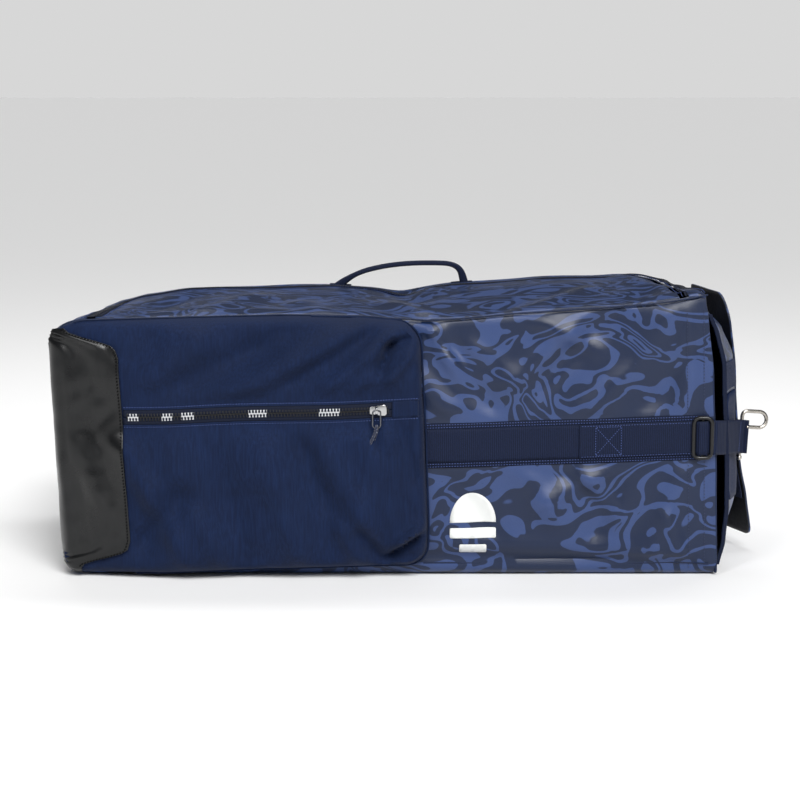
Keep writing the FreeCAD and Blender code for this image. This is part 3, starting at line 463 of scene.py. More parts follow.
RUBBER = plain("Navy rubbery sheet", "#0f1a36", "#15213f", 0.6, 500.0, 0.1, specular_ior_level=0.12)
PILE = plain("Looped pile tape", "#111729", "#202b4a", 0.95, 1300.0, 0.9)
CORD = flecked_cord("Braided cord with pale flecks")


# ---------------------------------------------------------------- making pieces
def piece(name, bm, finishes, body, replaces=(), sharp=35.0, rest=False, recalculate=False):
    """Turns a bmesh in millimetres into a finished piece that rides on a body."""
    if recalculate:
        bmesh.ops.recalc_face_normals(bm, faces=bm.faces)
    bmesh.ops.transform(bm, matrix=Matrix.Scale(MM, 4), verts=bm.verts)
    for f in bm.faces:
        f.smooth = True
    limit = math.radians(sharp)
    for e in bm.edges:
        e.smooth = not (len(e.link_faces) == 2 and e.calc_face_angle(0) > limit)
    mesh = bpy.data.meshes.new(name)
    bm.to_mesh(mesh)
    bm.free()
    for finish in finishes:
        mesh.materials.append(finish)
    if rest:
        spots = mesh.attributes.new("rest", "FLOAT_VECTOR", "POINT")
        spots.data.foreach_set("vector", [c for v in mesh.vertices for c in v.co])
    o = bpy.data.objects.new(name, mesh)
    bpy.context.scene.collection.objects.link(o)
    if body:
        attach(o, body)
    if replaces:
        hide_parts(*replaces)
    return o


def thicken(o, thickness, second=0, offset=-1.0):
    """A wall on the piece. second is the place of the inner face's finish among its materials."""
    wall = o.modifiers.new("wall", "SOLIDIFY")
    wall.thickness = thickness * MM
    wall.offset = offset
    wall.material_offset = second
    wall.material_offset_rim = 0
    wall.use_even_offset = True
    return o


def put(bm, template, matrix):
    """Adds a copy of a small template mesh."""
    start = len(bm.verts)
    bm.from_mesh(template)
    bm.verts.ensure_lookup_table()
    bmesh.ops.transform(bm, matrix=matrix, verts=bm.verts[start:])


def template_of(bm):
    mesh = bpy.data.meshes.new("template")
    bm.to_mesh(mesh)
    bm.free()
    return mesh


def facing(place, run, up):
    """A matrix that puts +X along run and +Z along up."""
    x = run.normalized()
    z = (up - x * up.dot(x)).normalized()
    y = z.cross(x)
    return Matrix.Translation(place) @ Matrix((x, y, z)).transposed().to_4x4()


def resample(points, step):
    """Points at an even spacing along a chain of straight runs, each with its direction."""
    spots, carry = [], step / 2
    for a, b in zip(points, points[1:]):
        run = b - a
        length = run.length
        while carry < length:
            spots.append((a + run * (carry / length), run.normalized()))
            carry += step
        carry -= length
    return spots


def stitch_template():
    bm = bmesh.new()
    bmesh.ops.create_icosphere(bm, subdivisions=1, radius=1.0)
    return template_of(bm)


STITCH = stitch_template()


def stitches(bm, points, outward, step, long, thick):
    """A row of stitches along a chain of points, raised along outward."""
    for spot, run in resample(points, step):
        size = Matrix.Diagonal((long / 2, thick, thick * 0.7, 1))
        put(bm, STITCH, facing(spot, run, outward) @ size)


def sew(name, lines, outward, sizes, thread, body):
    """Rows of stitches as one piece. sizes are their step, length and thickness."""
    rows = bmesh.new()
    for line in lines:
        stitches(rows, line, outward, *sizes)
    return piece(name, rows, [thread], body)


def turn_out(bm, outward):
    """Turns the faces of an open sheet to one side."""
    bmesh.ops.recalc_face_normals(bm, faces=bm.faces)
    if sum(f.normal.dot(outward) for f in bm.faces) < 0:
        bmesh.ops.reverse_faces(bm, faces=bm.faces)


def with_edges(faces):
    """Faces with their edges and corners, as bisect_plane takes them."""
    return faces + list({e for f in faces for e in f.edges}) + list({v for f in faces for v in f.verts})


def lay_on_front(x, z, proud=0.0):
    return Vector((x, front_y(x, z) - proud, z))


def grid(across, up):
    """A flat unit grid from (0, 0) to (1, 1) with this many cells each way."""
    bm = bmesh.new()
    bmesh.ops.create_grid(bm, x_segments=across, y_segments=up, size=0.5)
    bmesh.ops.transform(bm, matrix=Matrix.Translation((0.5, 0.5, 0)), verts=bm.verts)
    return bm


def mapped_grid(across, up, where, flip=False):
    """A grid whose (u, v) points are placed by a function."""
    bm = grid(across, up)
    for v in bm.verts:
        v.co = where(clamp(v.co.x), clamp(v.co.y))
    if flip:
        bmesh.ops.reverse_faces(bm, faces=bm.faces)
    return bm


def direction_at(points, i):
    """The direction of a chain at one of its points."""
    return (points[min(i + 1, len(points) - 1)] - points[max(i - 1, 0)]).normalized()


def loft(bm, rows):
    """Walls between rings of vertices, and a face over each end."""
    for low, high in zip(rows, rows[1:]):
        for k in range(len(low)):
            after = (k + 1) % len(low)
            bm.faces.new((low[k], low[after], high[after], high[k]))
    bm.faces.new(rows[0][::-1])
    bm.faces.new(rows[-1])


def strip(points, width, thickness, side, edge=0.5):
    """A solid band along points. side is the direction of its width."""
    bm = bmesh.new()
    rows = []
    across = side.normalized()
    for i, p in enumerate(points):
        out = across.cross(direction_at(points, i)).normalized()
        corners = [(-1, -1), (1, -1), (1, 1), (-1, 1)]
        rows.append([bm.verts.new(p + across * a * width / 2 + out * b * thickness / 2) for a, b in corners])
    loft(bm, rows)
    bmesh.ops.recalc_face_normals(bm, faces=bm.faces)
    long_edges = [e for e in bm.edges if e.calc_face_angle(0) > 1.2]
    bmesh.ops.bevel(bm, geom=long_edges, offset=min(edge, thickness * 0.45), offset_type="OFFSET", affect="EDGES",
                    segments=2, profile=0.5, material=-1)
    return bm


def rod(points, radius, sides=12):
    """A round wire along a chain of points."""
    bm = bmesh.new()
    rows, frame_up = [], None
    for i, p in enumerate(points):
        run = direction_at(points, i)
        if frame_up is None:
            frame_up = run.orthogonal().normalized()
        frame_up = (frame_up - run * frame_up.dot(run)).normalized()
        other = run.cross(frame_up)
        ring = [frame_up * math.cos(2 * math.pi * k / sides) + other * math.sin(2 * math.pi * k / sides)
                for k in range(sides)]
        rows.append([bm.verts.new(p + d * radius) for d in ring])
    loft(bm, rows)
    bmesh.ops.recalc_face_normals(bm, faces=bm.faces)
    return bm


def bend(points, radii, steps=8):
    """A chain of corners with each corner turned into an arc."""
    out = [points[0]]
    for i in range(1, len(points) - 1):
        p = points[i]
        a = (points[i - 1] - p).normalized()
        b = (points[i + 1] - p).normalized()
        half = a.angle(b) / 2
        r = radii[i - 1] if isinstance(radii, (list, tuple)) else radii
        reach = r / math.tan(half)
        centre = p + (a + b).normalized() * (r / math.sin(half))
        start, end = p + a * reach - centre, p + b * reach - centre
        for k in range(steps + 1):
            t = k / steps
            out.append(centre + start.slerp(end, t).normalized() * start.length)
    out.append(points[-1])
    return out


def point_along(points, u):
    """The point a share u of the way along a chain, counted in its points."""
    i = min(int(u * (len(points) - 1)), len(points) - 2)
    return points[i].lerp(points[i + 1], u * (len(points) - 1) - i)


def round_off(points, times=3):
    """Cuts the corners of a chain again and again until it is a smooth line."""
    for _ in range(times):
        cut = [points[0]]
        for a, b in zip(points, points[1:]):
            cut += [a.lerp(b, 0.25), a.lerp(b, 0.75)]
        points = cut + [points[-1]]
    return points


def cut_fine(bm, longest, times, **settings):
    """Cuts a flat outline into triangles, halving the sides longer than some millimetres each time."""
    bmesh.ops.triangulate(bm, faces=bm.faces)
    for _ in range(times):
        long_edges = [e for e in bm.edges if e.calc_length() > longest]
        bmesh.ops.subdivide_edges(bm, edges=long_edges, cuts=1, **settings)
        bmesh.ops.triangulate(bm, faces=bm.faces)


def join(*parts):
    bm = bmesh.new()
    for part in parts:
        mesh = template_of(part)
        bm.from_mesh(mesh)
        bpy.data.meshes.remove(mesh)
    return bm


# ---------------------------------------------------------------- body skin and lid
LID_LEFT, LID_RIGHT, LID_REAR, LID_ROUND = -318.0, 338.0, 108.0, 22.0


def in_lid(x, y, grow):
    """Whether a point of the top lies inside the zip's line, grown by some millimetres."""
    x0, x1, y1, r = LID_LEFT - grow, LID_RIGHT + grow, LID_REAR + grow, LID_ROUND + grow
    if not (x0 < x < x1 and y < y1):
        return False
    cx, cy = clamp(x, x0 + r, x1 - r), min(y, y1 - r)
    return math.hypot(x - cx, y - cy) < r


def cut_lid_line(bm, grow):
    """Cuts the top faces of the block along the zip's line."""
    x0, x1, y1, r = LID_LEFT - grow, LID_RIGHT + grow, LID_REAR + grow, LID_ROUND + grow

    def top_part(test):
        return with_edges([f for f in bm.faces if f.normal.z > 0.9 and test(f.calc_center_median())])

    for x in (x0, x1):
        bmesh.ops.bisect_plane(bm, geom=top_part(lambda c: c.y < y1 + 12), plane_co=(x, 0, 0), plane_no=(1, 0, 0))
    bmesh.ops.bisect_plane(bm, geom=top_part(lambda c: True), plane_co=(0, y1, 0), plane_no=(0, 1, 0))
    for cx, sign in ((x0 + r, -1), (x1 - r, 1)):
        for k in range(1, 6):
            a = math.pi / 2 * k / 6
            d = Vector((math.cos(a) * sign, math.sin(a), 0))
            near = top_part(lambda c: -4 < (c.x - cx) * sign < r and y1 - r - 4 < c.y < y1)
            bmesh.ops.bisect_plane(bm, geom=near, plane_co=Vector((cx, y1 - r, 0)) + d * r, plane_no=d)


def skin_block(grow):
    bm = block(-HALF_LONG, HALF_LONG, FRONT, BACK, 0, BLOCK_HIGH, 6.0)
    bm.normal_update()
    cut_lid_line(bm, grow)
    return bm


def to_skin(bm):
    for v in bm.verts:
        v.co = skin_point(*v.co)


def open_for_cup(bm):
    """Opens the mouth end where the pull handle's cup sits."""
    low, high = (Vector(p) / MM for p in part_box("trolley_head"))
    low.y, low.z, high.z = low.y + 0.6, low.z + 0.6, high.z - 0.6

    def mouth_end(test=lambda c: True):
        spots = [(f, f.calc_center_median()) for f in bm.faces]
        return [f for f, c in spots if c.x > 335 and f.normal.x > 0.2 and test(c)]

    for co, no in (((0, low.y, 0), (0, 1, 0)), ((0, 0, low.z), (0, 0, 1)), ((0, 0, high.z), (0, 0, 1))):
        bmesh.ops.bisect_plane(bm, geom=with_edges(mouth_end()), plane_co=co, plane_no=no)
        bm.normal_update()
    inside = mouth_end(lambda c: low.y < c.y and low.z < c.z < high.z)
    bmesh.ops.delete(bm, geom=inside, context="FACES")


def body_skin():
    bm = skin_block(5.0)
    lid = [f for f in bm.faces if f.normal.z > 0.9 and in_lid(*f.calc_center_median().xy, 5.0)]
    bmesh.ops.delete(bm, geom=lid, context="FACES")
    for f in bm.faces:
        if f.normal.x > 0.9:
            f.material_index = 1
        elif f.normal.y > 0.9:
            f.material_index = 2
    to_skin(bm)
    open_for_cup(bm)
    o = piece("body_skin", bm, [TARPAULIN, LINING, TARPAULIN_BACK], "bag",
              ["front_panel", "back_cover", "lower_side_panel", "base_end_panel", "mouth_end_panel", "rear_top_strip"],
              sharp=50, rest=True)
    thicken(o, 1.6, 1)


def lid_skin():
    bm = skin_block(-5.0)
    away = [f for f in bm.faces if not (f.normal.z > 0.9 and in_lid(*f.calc_center_median().xy, -5.0))]
    bmesh.ops.delete(bm, geom=away, context="FACES")
    to_skin(bm)
    o = piece("lid_skin", bm, [TARPAULIN, LINING], None, ["lid_panel"], sharp=60, rest=True)
    thicken(o, 2.5, 1)
    blend_lid(o)


def blend_lid(o):
    """Bakes the piece's transform into its mesh."""
    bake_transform(o)


body_skin()
lid_skin()


# ---------------------------------------------------------------- front pocket
POCKET_LEFT, POCKET_OUT = -353.0, 26.0
POCKET_RIGHT_EDGE = [(16, 48.5), (60, 49.5), (150, 46.5), (245, 42), (285, 40)]
POCKET_BOTTOM = [(-352, 6), (-250, 4), (-118, 9), (20, 13), (50, 14)]
POCKET_FULL, POCKET_HIGH = 50, 290  # the square outline that is taken to the pocket's own
POCKET_CORNERS = {(1, 1): 27, (1, 0): 24, (0, 0): 22, (0, 1): 12}
POCKET_CREASES = [
    (9, 262, -2, 236, 5, -4.5), (26, 268, 4, 258, 5, -4.0), (30, 250, 8, 226, 6, 3.4), (6, 268, -60, 214, 9, 4.0),
    (-16, 272, -94, 226, 10, -3.4), (-44, 268, -176, 200, 15, 4.6), (-120, 262, -236, 212, 16, -3.6),
    (-200, 268, -250, 220, 18, 3.2), (-8, 232, -40, 206, 9, 2.8), (44, 52, 12, 30, 4.5, -6.0),
    (46, 62, 18, 44, 6, 4.4), (30, 28, -6, 16, 7, -3.6), (-24, 52, -4, 22, 9, -3.8), (-46, 60, -22, 20, 10, 3.2),
    (-130, 140, -96, 40, 17, 3.4), (-176, 130, -150, 20, 18, -3.6), (-224, 90, -262, 40, 15, -4.0),
    (-206, 74, -180, 30, 14, 3.0), (-254, 100, -212, 20, 14, 3.4), (-90, 150, -64, 90, 13, -3.0),
    (-10, 150, -20, 60, 16, 2.8), (-60, 140, -24, 70, 14, 2.6), (-12, 178, -8, 152, 5, -2.6), (2, 176, 10, 150, 6, 2.2),
    (-282, 150, -250, 90, 14, 2.6), (-310, 200, -296, 110, 10, -2.4), (20, 176, 34, 120, 8, -2.4),
]


def pocket_top(x):
    return straight_top(x) - along(x, EDGE_DROP) - 1.5


def pocket_bottom(x):
    return along(x, POCKET_BOTTOM)


def zip_height(x):
    """Height of the pocket zip's line."""
    return 186.5 + (x + 138) * math.tan(FOLD_LEAN) + 0.7 * math.sin(x / 34.0)


def pocket_plane(x):
    return lerp(5.0, POCKET_OUT, clamp((x + 352) / 122)) if x < -230 else POCKET_OUT


def quarter(t):
    """A quarter round, from 0 at the edge to 1."""
    t = clamp(t)
    return math.sqrt(1 - (1 - t) ** 2)


def pocket_depth(x, z):
    """How far the pocket stands out from the front's plane."""
    top, bottom, right = pocket_top(x), pocket_bottom(x), along(z, POCKET_RIGHT_EDGE)
    radius = 27 if z > 150 else 24
    qx, qz = max(0.0, radius - (right - x)), max(0.0, radius - min(top - z, z - bottom))
    edge = radius - math.hypot(qx, qz) if qx and qz else min(right - x, top - z, z - bottom)
    plane = pocket_plane(x) * (quarter(edge / 10) * quarter((x + 354) / 16) * lerp(0.42, 1.0, quarter((top - z) / 62))
                               * lerp(0.55, 1.0, quarter((z - bottom) / 34)))
    calm = smooth(edge / 16) * smooth((x + 350) / 16)
    near_zip = smooth((abs(z - zip_height(x)) - 9) / 26)
    swell = 3.5 * math.sin(math.pi * clamp((z - bottom) / (top - bottom))) * smooth(edge / 60) * smooth((x + 354) / 40)
    soft = 2.5 * folds(x, z, POCKET_CREASES) + 3.8 * waves(x, 0, z, 54, 1.3) + 1.4 * waves(x, 0, z, 19, 5.9)
    depth = plane + near_zip * (swell + calm * soft) + 0.2
    return max(depth, min(plane, front_bulge(x, z) + 1.6))


def pocket_y(x, z, proud=0.0):
    return FRONT - pocket_depth(x, z) - proud


def lay_on_pocket(x, z, proud=0.0):
    return Vector((x, pocket_y(x, z, proud), z))


def pocket_spot(u, v):
    """A point of the unit square taken to the pocket's outline."""
    x, z = lerp(POCKET_LEFT, POCKET_FULL, u), lerp(0, POCKET_HIGH, v)
    x, z = round_corners(x, z, POCKET_LEFT, POCKET_FULL, 0, POCKET_HIGH, POCKET_CORNERS)
    z = lerp(pocket_bottom(x), pocket_top(x), z / POCKET_HIGH)
    right = along(z, POCKET_RIGHT_EDGE)
    x = POCKET_LEFT + (x - POCKET_LEFT) * (right - POCKET_LEFT) / (POCKET_FULL - POCKET_LEFT)
    return x, z


def front_pocket():
    bm = mapped_grid(108, 76, lambda u, v: lay_on_pocket(*pocket_spot(u, v)))
    # The bellows: the edge turns back to the bag, with a fold half way.
    rim = [e for e in bm.edges if e.is_boundary]
    for depth, spread in ((0.45, 0.6), (0.5, -1.6), (0.98, 0.0)):
        made = bmesh.ops.extrude_edge_only(bm, edges=rim)["geom"]
        moved = [v for v in made if isinstance(v, bmesh.types.BMVert)]
        rim = [e for e in made if isinstance(e, bmesh.types.BMEdge)]
        for v in moved:
            flat = front_y(v.co.x, clamp(v.co.z, 2, 280))
            v.co.y = lerp(v.co.y, flat + 1.0, depth)
            v.co.x += spread if v.co.x > -100 else 0
    bmesh.ops.recalc_face_normals(bm, faces=bm.faces)
    piece("front_pocket_cloth", bm, [POLYESTER], "bag", ["front_pocket", "pocket_zip_garage"],
          sharp=60, rest=True)


ZIP_LEFT_END, ZIP_RIGHT_END = -282.0, 10.0
HALF_TAPE, TOOTH_PITCH = 8.2, 3.4


def beside_zip(x0, x1, count, off, proud):
    """A line laid on the pocket, off millimetres above the zip's."""
    return [lay_on_pocket(x, zip_height(x) + off, proud) for x in spread(x0, x1, count)]


def tooth_template(long, wide, tall):
    """A moulded tooth: a block with eased edges and a waist behind its head."""
    bm = bmesh.new()
    bmesh.ops.create_cube(bm, size=1.0)
    bmesh.ops.transform(bm, matrix=Matrix.Diagonal((wide, long, tall, 1)), verts=bm.verts)
    lengthways = [e for e in bm.edges if abs((e.verts[0].co - e.verts[1].co).y) > long * 0.9]
    bmesh.ops.subdivide_edges(bm, edges=lengthways, cuts=2, use_grid_fill=True)
    for v in bm.verts:
        if abs(v.co.y) < long * 0.3:
            v.co.x *= 0.62
            v.co.z *= 0.85
    hard = [e for e in bm.edges if e.calc_face_angle(0) > 1.0]
    bmesh.ops.bevel(bm, geom=hard, offset=0.22, affect="EDGES", segments=1, profile=0.5, material=-1)
    return template_of(bm)


def teeth_along(spots, side, outward, template, reach):
    """Teeth on one side of a chain. side gives the direction from the chain's middle to that side."""
    bm = bmesh.new()
    for spot, run in spots:
        across = side(run)
        x = run.normalized()
        z = (outward - x * outward.dot(x)).normalized()
        put(bm, template, Matrix.Translation(spot + across * reach) @ Matrix((x, across, z)).transposed().to_4x4())
    return bm


OUT, UP = Vector((0, -1, 0)), Vector((0, 0, 1))


def pocket_zip():
    tooth = tooth_template(4.6, 2.1, 2.3)
    first, last = ZIP_LEFT_END + 3, ZIP_RIGHT_END - 4
    middle = beside_zip(first, last, round((last - first) / 2.0), 0, 0.7)
    for name, sign, shift in (("upper", 1, 0.0), ("lower", -1, 0.5)):
        start = [p + (middle[1] - middle[0]).normalized() * shift * TOOTH_PITCH for p in middle]
        bm = teeth_along(resample(start, TOOTH_PITCH), lambda run, k=sign: Vector((0, 0, k)), OUT, tooth, 1.6)
        piece(f"pocket_zip_teeth_{name}", bm, [TEETH_WITH_PAINTED_GLINTS], "bag", ["pocket_zip_teeth"], recalculate=True)

        def tape_spot(u, v, k=sign):
            x = lerp(ZIP_LEFT_END, ZIP_RIGHT_END, u)
            return lay_on_pocket(x, zip_height(x) + k * lerp(0.5, HALF_TAPE, v), 0.5 - 0.5 * v)
        bm = mapped_grid(120, 5, tape_spot, flip=sign < 0)
        thicken(piece(f"pocket_zip_tape_{name}", bm, [ZIP_TAPE], "bag", ["pocket_zip_tapes"]), 0.7, 0, 0.0)
        # The cloth's folded edge beside the tape, with its row of stitches.
        hem = strip(beside_zip(ZIP_LEFT_END, 30.0, 100, sign * (HALF_TAPE + 1.0), 0.7), 2.2, 1.0, Vector((0, 0, 1)))
        piece(f"pocket_zip_hem_{name}", hem, [POLYESTER_TRIM], "bag")
        sew(f"pocket_zip_stitching_{name}", [beside_zip(ZIP_LEFT_END, 38.0, 100, sign * (HALF_TAPE + 2.6), 0.45)], OUT,
            (3.0, 2.0, 0.62), THREAD, "bag")


def pocket_trim():
    """Stitched hem lines of the closed end of the zip, and the binding round the pocket's edge."""
    lines = [[lay_on_pocket(x, zip_height(x) + off, 0.35) for x in (34, 38, 41, 44)] for off in (9.6, -9.0)]
    sew("pocket_side_stitching", lines, OUT, (3.0, 2.0, 0.45), THREAD_DARK, "bag")
    # A bound seam follows the outline a little behind the face.
    outline = []
    for u, v in ([(u, 0) for u in spread(0.2, 1, 60)] + [(1, i / 50) for i in range(1, 50)]
                 + [(u, 1) for u in spread(1, 0.7, 24)]):
        x, z = pocket_spot(u, v)
        outline.append(Vector((x + (0.4 if u > 0.9 else 0), FRONT - 0.5 * max(pocket_depth(x - 3, z), 6), z)))
    piece("pocket_binding", rod(outline, 1.1, 8), [POLYESTER_TRIM], "bag")


def garage():
    """The folded tab that hides the zip's closed end."""
    def spot(u, v):
        x = lerp(9.5, 38, u)
        return lay_on_pocket(x, zip_height(x) + lerp(-8.6, 8.6, v), 1.2 - 0.9 * u + 0.3 * math.sin(math.pi * v))
    o = piece("pocket_zip_garage_tab", mapped_grid(14, 10, spot), [POLYESTER_TRIM], "bag")
    thicken(o, 0.9, 0, 0.0)


front_pocket()
pocket_zip()
pocket_trim()
garage()


# ---------------------------------------------------------------- pocket slider, ring and cord
def slider_plate():
    """A cast slider's plate, with waisted wings and eased edges."""
    bm = bmesh.new()
    half = [(-9, 3.6), (-7, 4.4), (-2, 4.7), (3, 6.0), (7.5, 6.2), (9.5, 4.0)]
    ring = [bm.verts.new((x, y, 0)) for x, y in half] + [bm.verts.new((x, -y, 0)) for x, y in half[::-1]]
    face = bm.faces.new(ring)
    bmesh.ops.recalc_face_normals(bm, faces=[face])
    made = bmesh.ops.extrude_face_region(bm, geom=[face])["geom"]
    bmesh.ops.translate(bm, vec=(0, 0, 2.4), verts=[v for v in made if isinstance(v, bmesh.types.BMVert)])
    bmesh.ops.recalc_face_normals(bm, faces=bm.faces)
    hard = [e for e in bm.edges if e.calc_face_angle(0) > 0.8]
    bmesh.ops.bevel(bm, geom=hard, offset=0.8, affect="EDGES", segments=3, profile=0.5, material=-1)
    return bm


def pocket_slider():
    low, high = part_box("pocket_zip_slider")
    middle = (low + high) / 2 / MM
    plate_out = low.y / MM + 4.2
    bm = slider_plate()
    run = Vector((math.cos(0.0314), 0, math.sin(0.0314)))
    bmesh.ops.transform(bm, matrix=facing(Vector((middle.x, plate_out + 2.4, 190.75)), run, OUT), verts=bm.verts)
    # The bridge arches over the ring's bar.
    arch = [Vector((-7, plate_out + 0.4, 190.6 + z)) + Vector((0, y, 0))
            for z, y in ((-3.4, 0), (-3.4, -2.4), (-2.4, -3.6), (0, -3.9), (2.4, -3.6), (3.4, -2.4), (3.4, 0))]
    loop = rod(bend(arch, 0.5, 3), 0.85, 10)
    bmesh.ops.scale(loop, vec=(1.9, 1, 1), space=Matrix.Translation((7, 0, 0)), verts=loop.verts)
    piece("pocket_slider_body", join(bm, loop), [SILVER], "pocket_zip_runner", ["pocket_zip_slider"],
          recalculate=True)


def pull_ring():
    low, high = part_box("pocket_zip_pull")
    y = (low.y + high.y) / 2 / MM
    x, z0, z1 = (low.x + high.x) / 2 / MM, low.z / MM + 0.9, high.z / MM - 0.8
    corners = [Vector((x, y, z1)), Vector((x + 4.3, y, z1)), Vector((x + 4.3, y, z0)), Vector((x - 4.3, y, z0)),
               Vector((x - 4.3, y, z1)), Vector((x, y, z1))]
    loop = bend(corners, [2.6, 3.6, 3.6, 2.6], 6)
    bm = rod(loop, 0.85, 10)
    bmesh.ops.remove_doubles(bm, verts=bm.verts, dist=0.02)
    piece("pocket_pull_ring", bm, [GUNMETAL], "pocket_zip_ring", ["pocket_zip_pull"], recalculate=True)


CORD_ROUTES = {
    "left": [(-7.0, -183.3, 174.4), (-7.4, -186.6, 172.6), (-8.4, -187.2, 167.4), (-11.6, -185.8, 160.0),
             (-14.8, -184.2, 152.6), (-17.2, -183.0, 145.8), (-20.6, -182.0, 138.8)],
    "right": [(-7.0, -183.3, 174.4), (-6.9, -180.6, 171.6), (-6.4, -180.4, 166.4), (-7.8, -180.7, 159.2),
              (-10.2, -180.5, 152.0), (-11.0, -180.8, 145.4), (-12.8, -180.6, 139.6)],
}


def pull_cords():
    for side, route in CORD_ROUTES.items():
        curve = bpy.data.curves.new("pull_cord_" + side + "_line", "CURVE")
        curve.dimensions = "3D"
        line = curve.splines.new("NURBS")
        line.points.add(len(route) - 1)
        for p, spot in zip(line.points, route):
            p.co = (*(c * MM for c in spot), 1.0)
        line.order_u = 3
        line.use_endpoint_u = True
        curve.bevel_depth = 1.5 * MM
        curve.bevel_resolution = 4
        curve.use_fill_caps = True
        curve.materials.append(CORD)
        o = bpy.data.objects.new("pull_cord_" + side + "_braid", curve)
        bpy.context.scene.collection.objects.link(o)
        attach(o, "pocket_zip_ring")
        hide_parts("pull_cord_" + side)


pocket_slider()
pull_ring()
pull_cords()


# ---------------------------------------------------------------- end guard
GUARD_EDGE = [(14, -333), (33, -280.5), (45, -277.2), (150, -281.5), (245, -285.6), (257, -290), (275, -346)]
GUARD_LOW, GUARD_HIGH, GUARD_REAR = 7.0, 277.0, 84.0
GUARD_TURN = FRONT + 14  # where the cloth has turned from the face to the base end
GUARD_FOLDS = [  # along the distance from the sewn edge and the height
    (16, 262, 30, 190, 8, 2.6), (44, 240, 34, 150, 9, -2.8), (26, 160, 6, 112, 10, 2.4), (38, 120, 24, 56, 9, 2.8),
    (56, 110, 52, 30, 7, -3.0), (14, 64, 46, 20, 8, -2.4), (58, 230, 56, 140, 7, 2.6), (70, 120, 66, 50, 6, 2.4),
    (8, 190, 30, 172, 5, -1.6), (30, 210, 50, 196, 6, 1.6),
]


def guard_rumple(s, z):
    return folds(s, z, GUARD_FOLDS) + 1.6 * waves(s, 0, z, 38, 4.7) + 0.6 * waves(s, 0, z, 15, 8.2)


def end_guard():
    """Scuff cloth from its sewn edge on the face, round the corner and over the base end."""
    def end_spot(y, z):
        spot = skin_point(-HALF_LONG, y, z * BLOCK_HIGH / 280.4)
        return spot.x - 2.8, spot.z

    def spot(u, v):
        z = lerp(GUARD_LOW, GUARD_HIGH, v)
        edge = along(z, GUARD_EDGE)
        end_x, end_z = end_spot(GUARD_TURN, z)
        turn_x = end_x + 15
        face_long, round_long, end_long = edge - turn_x, 24.0, GUARD_REAR - FRONT - 14
        s = u * (face_long + round_long + end_long)
        rumple = guard_rumple(s, z) * smooth(s / 12) * smooth((z - 4) / 12) * smooth((280 - z) / 12)
        if s < face_long:
            x = edge - s
            return Vector((x, pocket_y(x, z, 1.6) - max(rumple, -1.2), z))
        s -= face_long
        y_face = pocket_y(turn_x, z, 1.6) - max(rumple, -1.2)
        if s < round_long:
            a = s / round_long * math.pi / 2
            return Vector((lerp(turn_x, end_x - max(rumple, -1) * 0.5, math.sin(a)),
                           lerp(y_face, GUARD_TURN, 1 - math.cos(a)), lerp(z, end_z, a * 2 / math.pi)))
        y = GUARD_TURN + s - round_long
        end_x, end_z = end_spot(y, z)
        return Vector((end_x - max(rumple, -1) * 0.5 * smooth((GUARD_REAR - y) / 30), y, end_z))

    bm = mapped_grid(90, 60, lambda u, v: spot(u ** 1.35, v))
    bmesh.ops.recalc_face_normals(bm, faces=bm.faces)
    thicken(piece("end_guard_cloth", bm, [GUARD], "bag", ["end_guard"], sharp=60), 1.4)
    edge = [lay_on_pocket(along(z, GUARD_EDGE) - 2.6, z, 4.0) for z in spread(12, 276, 80)]
    sew("end_guard_stitching", [edge], OUT, (3.6, 2.5, 0.95), THREAD_BLACK, "bag")


end_guard()


# ---------------------------------------------------------------- strap
def on_strap(x, off, lift):
    """A point off millimetres above the strap's middle line, raised from the cloth under it."""
    return Vector((x, front_y(x, strap_line(x) + off * 0.8) - lift, strap_line(x) + off))


def strap_surface(name, x0, x1, half, proud, finish, replaced, crown=0.4):
    def spot(u, v):
        x = lerp(x0, x1, u)
        off = lerp(-half, half, v)
        return on_strap(x, off, proud + crown * (1 - (2 * v - 1) ** 6)) + Vector((0, 0, 0.35 * math.sin(x / 21.0)))
    thicken(piece(name, mapped_grid(90, 12, spot), [finish], "bag", replaced), 1.3)


def strap():
    right = 356.0
    strap_surface("strap_base_tape", 43, right, 25, 0.5, WEBBING_BASE, ["strap_base"])
    strap_surface("strap_ribbed_webbing", 43, 262, 18.5, 1.7, WEBBING, ["strap_webbing"], 0.5)
    strap_surface("strap_second_run", 214, right + 2, 18.7, 3.0, WEBBING, (), 0.5)
    lines = [[on_strap(x, off, 1.0) for x in spread(44, right - 1, 80)] for off in (-23.2, -20.2, 20.2, 23.2)]
    sew("strap_edge_stitching", lines, OUT, (3.0, 2.0, 0.5), THREAD, "bag")
    # A box with a cross in it, and a row along each edge of the second run.
    rows = bmesh.new()
    x0, x1, h, lift = 232, 260, 15.5, 3.75
    corners = [(x0, -h), (x1, -h), (x1, h), (x0, h), (x0, -h)]
    for a, b in list(zip(corners, corners[1:])) + [((x0, -h), (x1, h)), ((x0, h), (x1, -h))]:
        line = [on_strap(x, off, lift) for x, off in zip(spread(a[0], b[0], 8), spread(a[1], b[1], 8))]
        stitches(rows, line, OUT, 2.8, 1.9, 0.45)
    for off in (-17.0, 17.0):
        stitches(rows, [on_strap(x, off, lift) for x in spread(216, right, 40)], OUT, 3.0, 2.0, 0.42)
    piece("strap_box_stitching", rows, [THREAD], "bag")


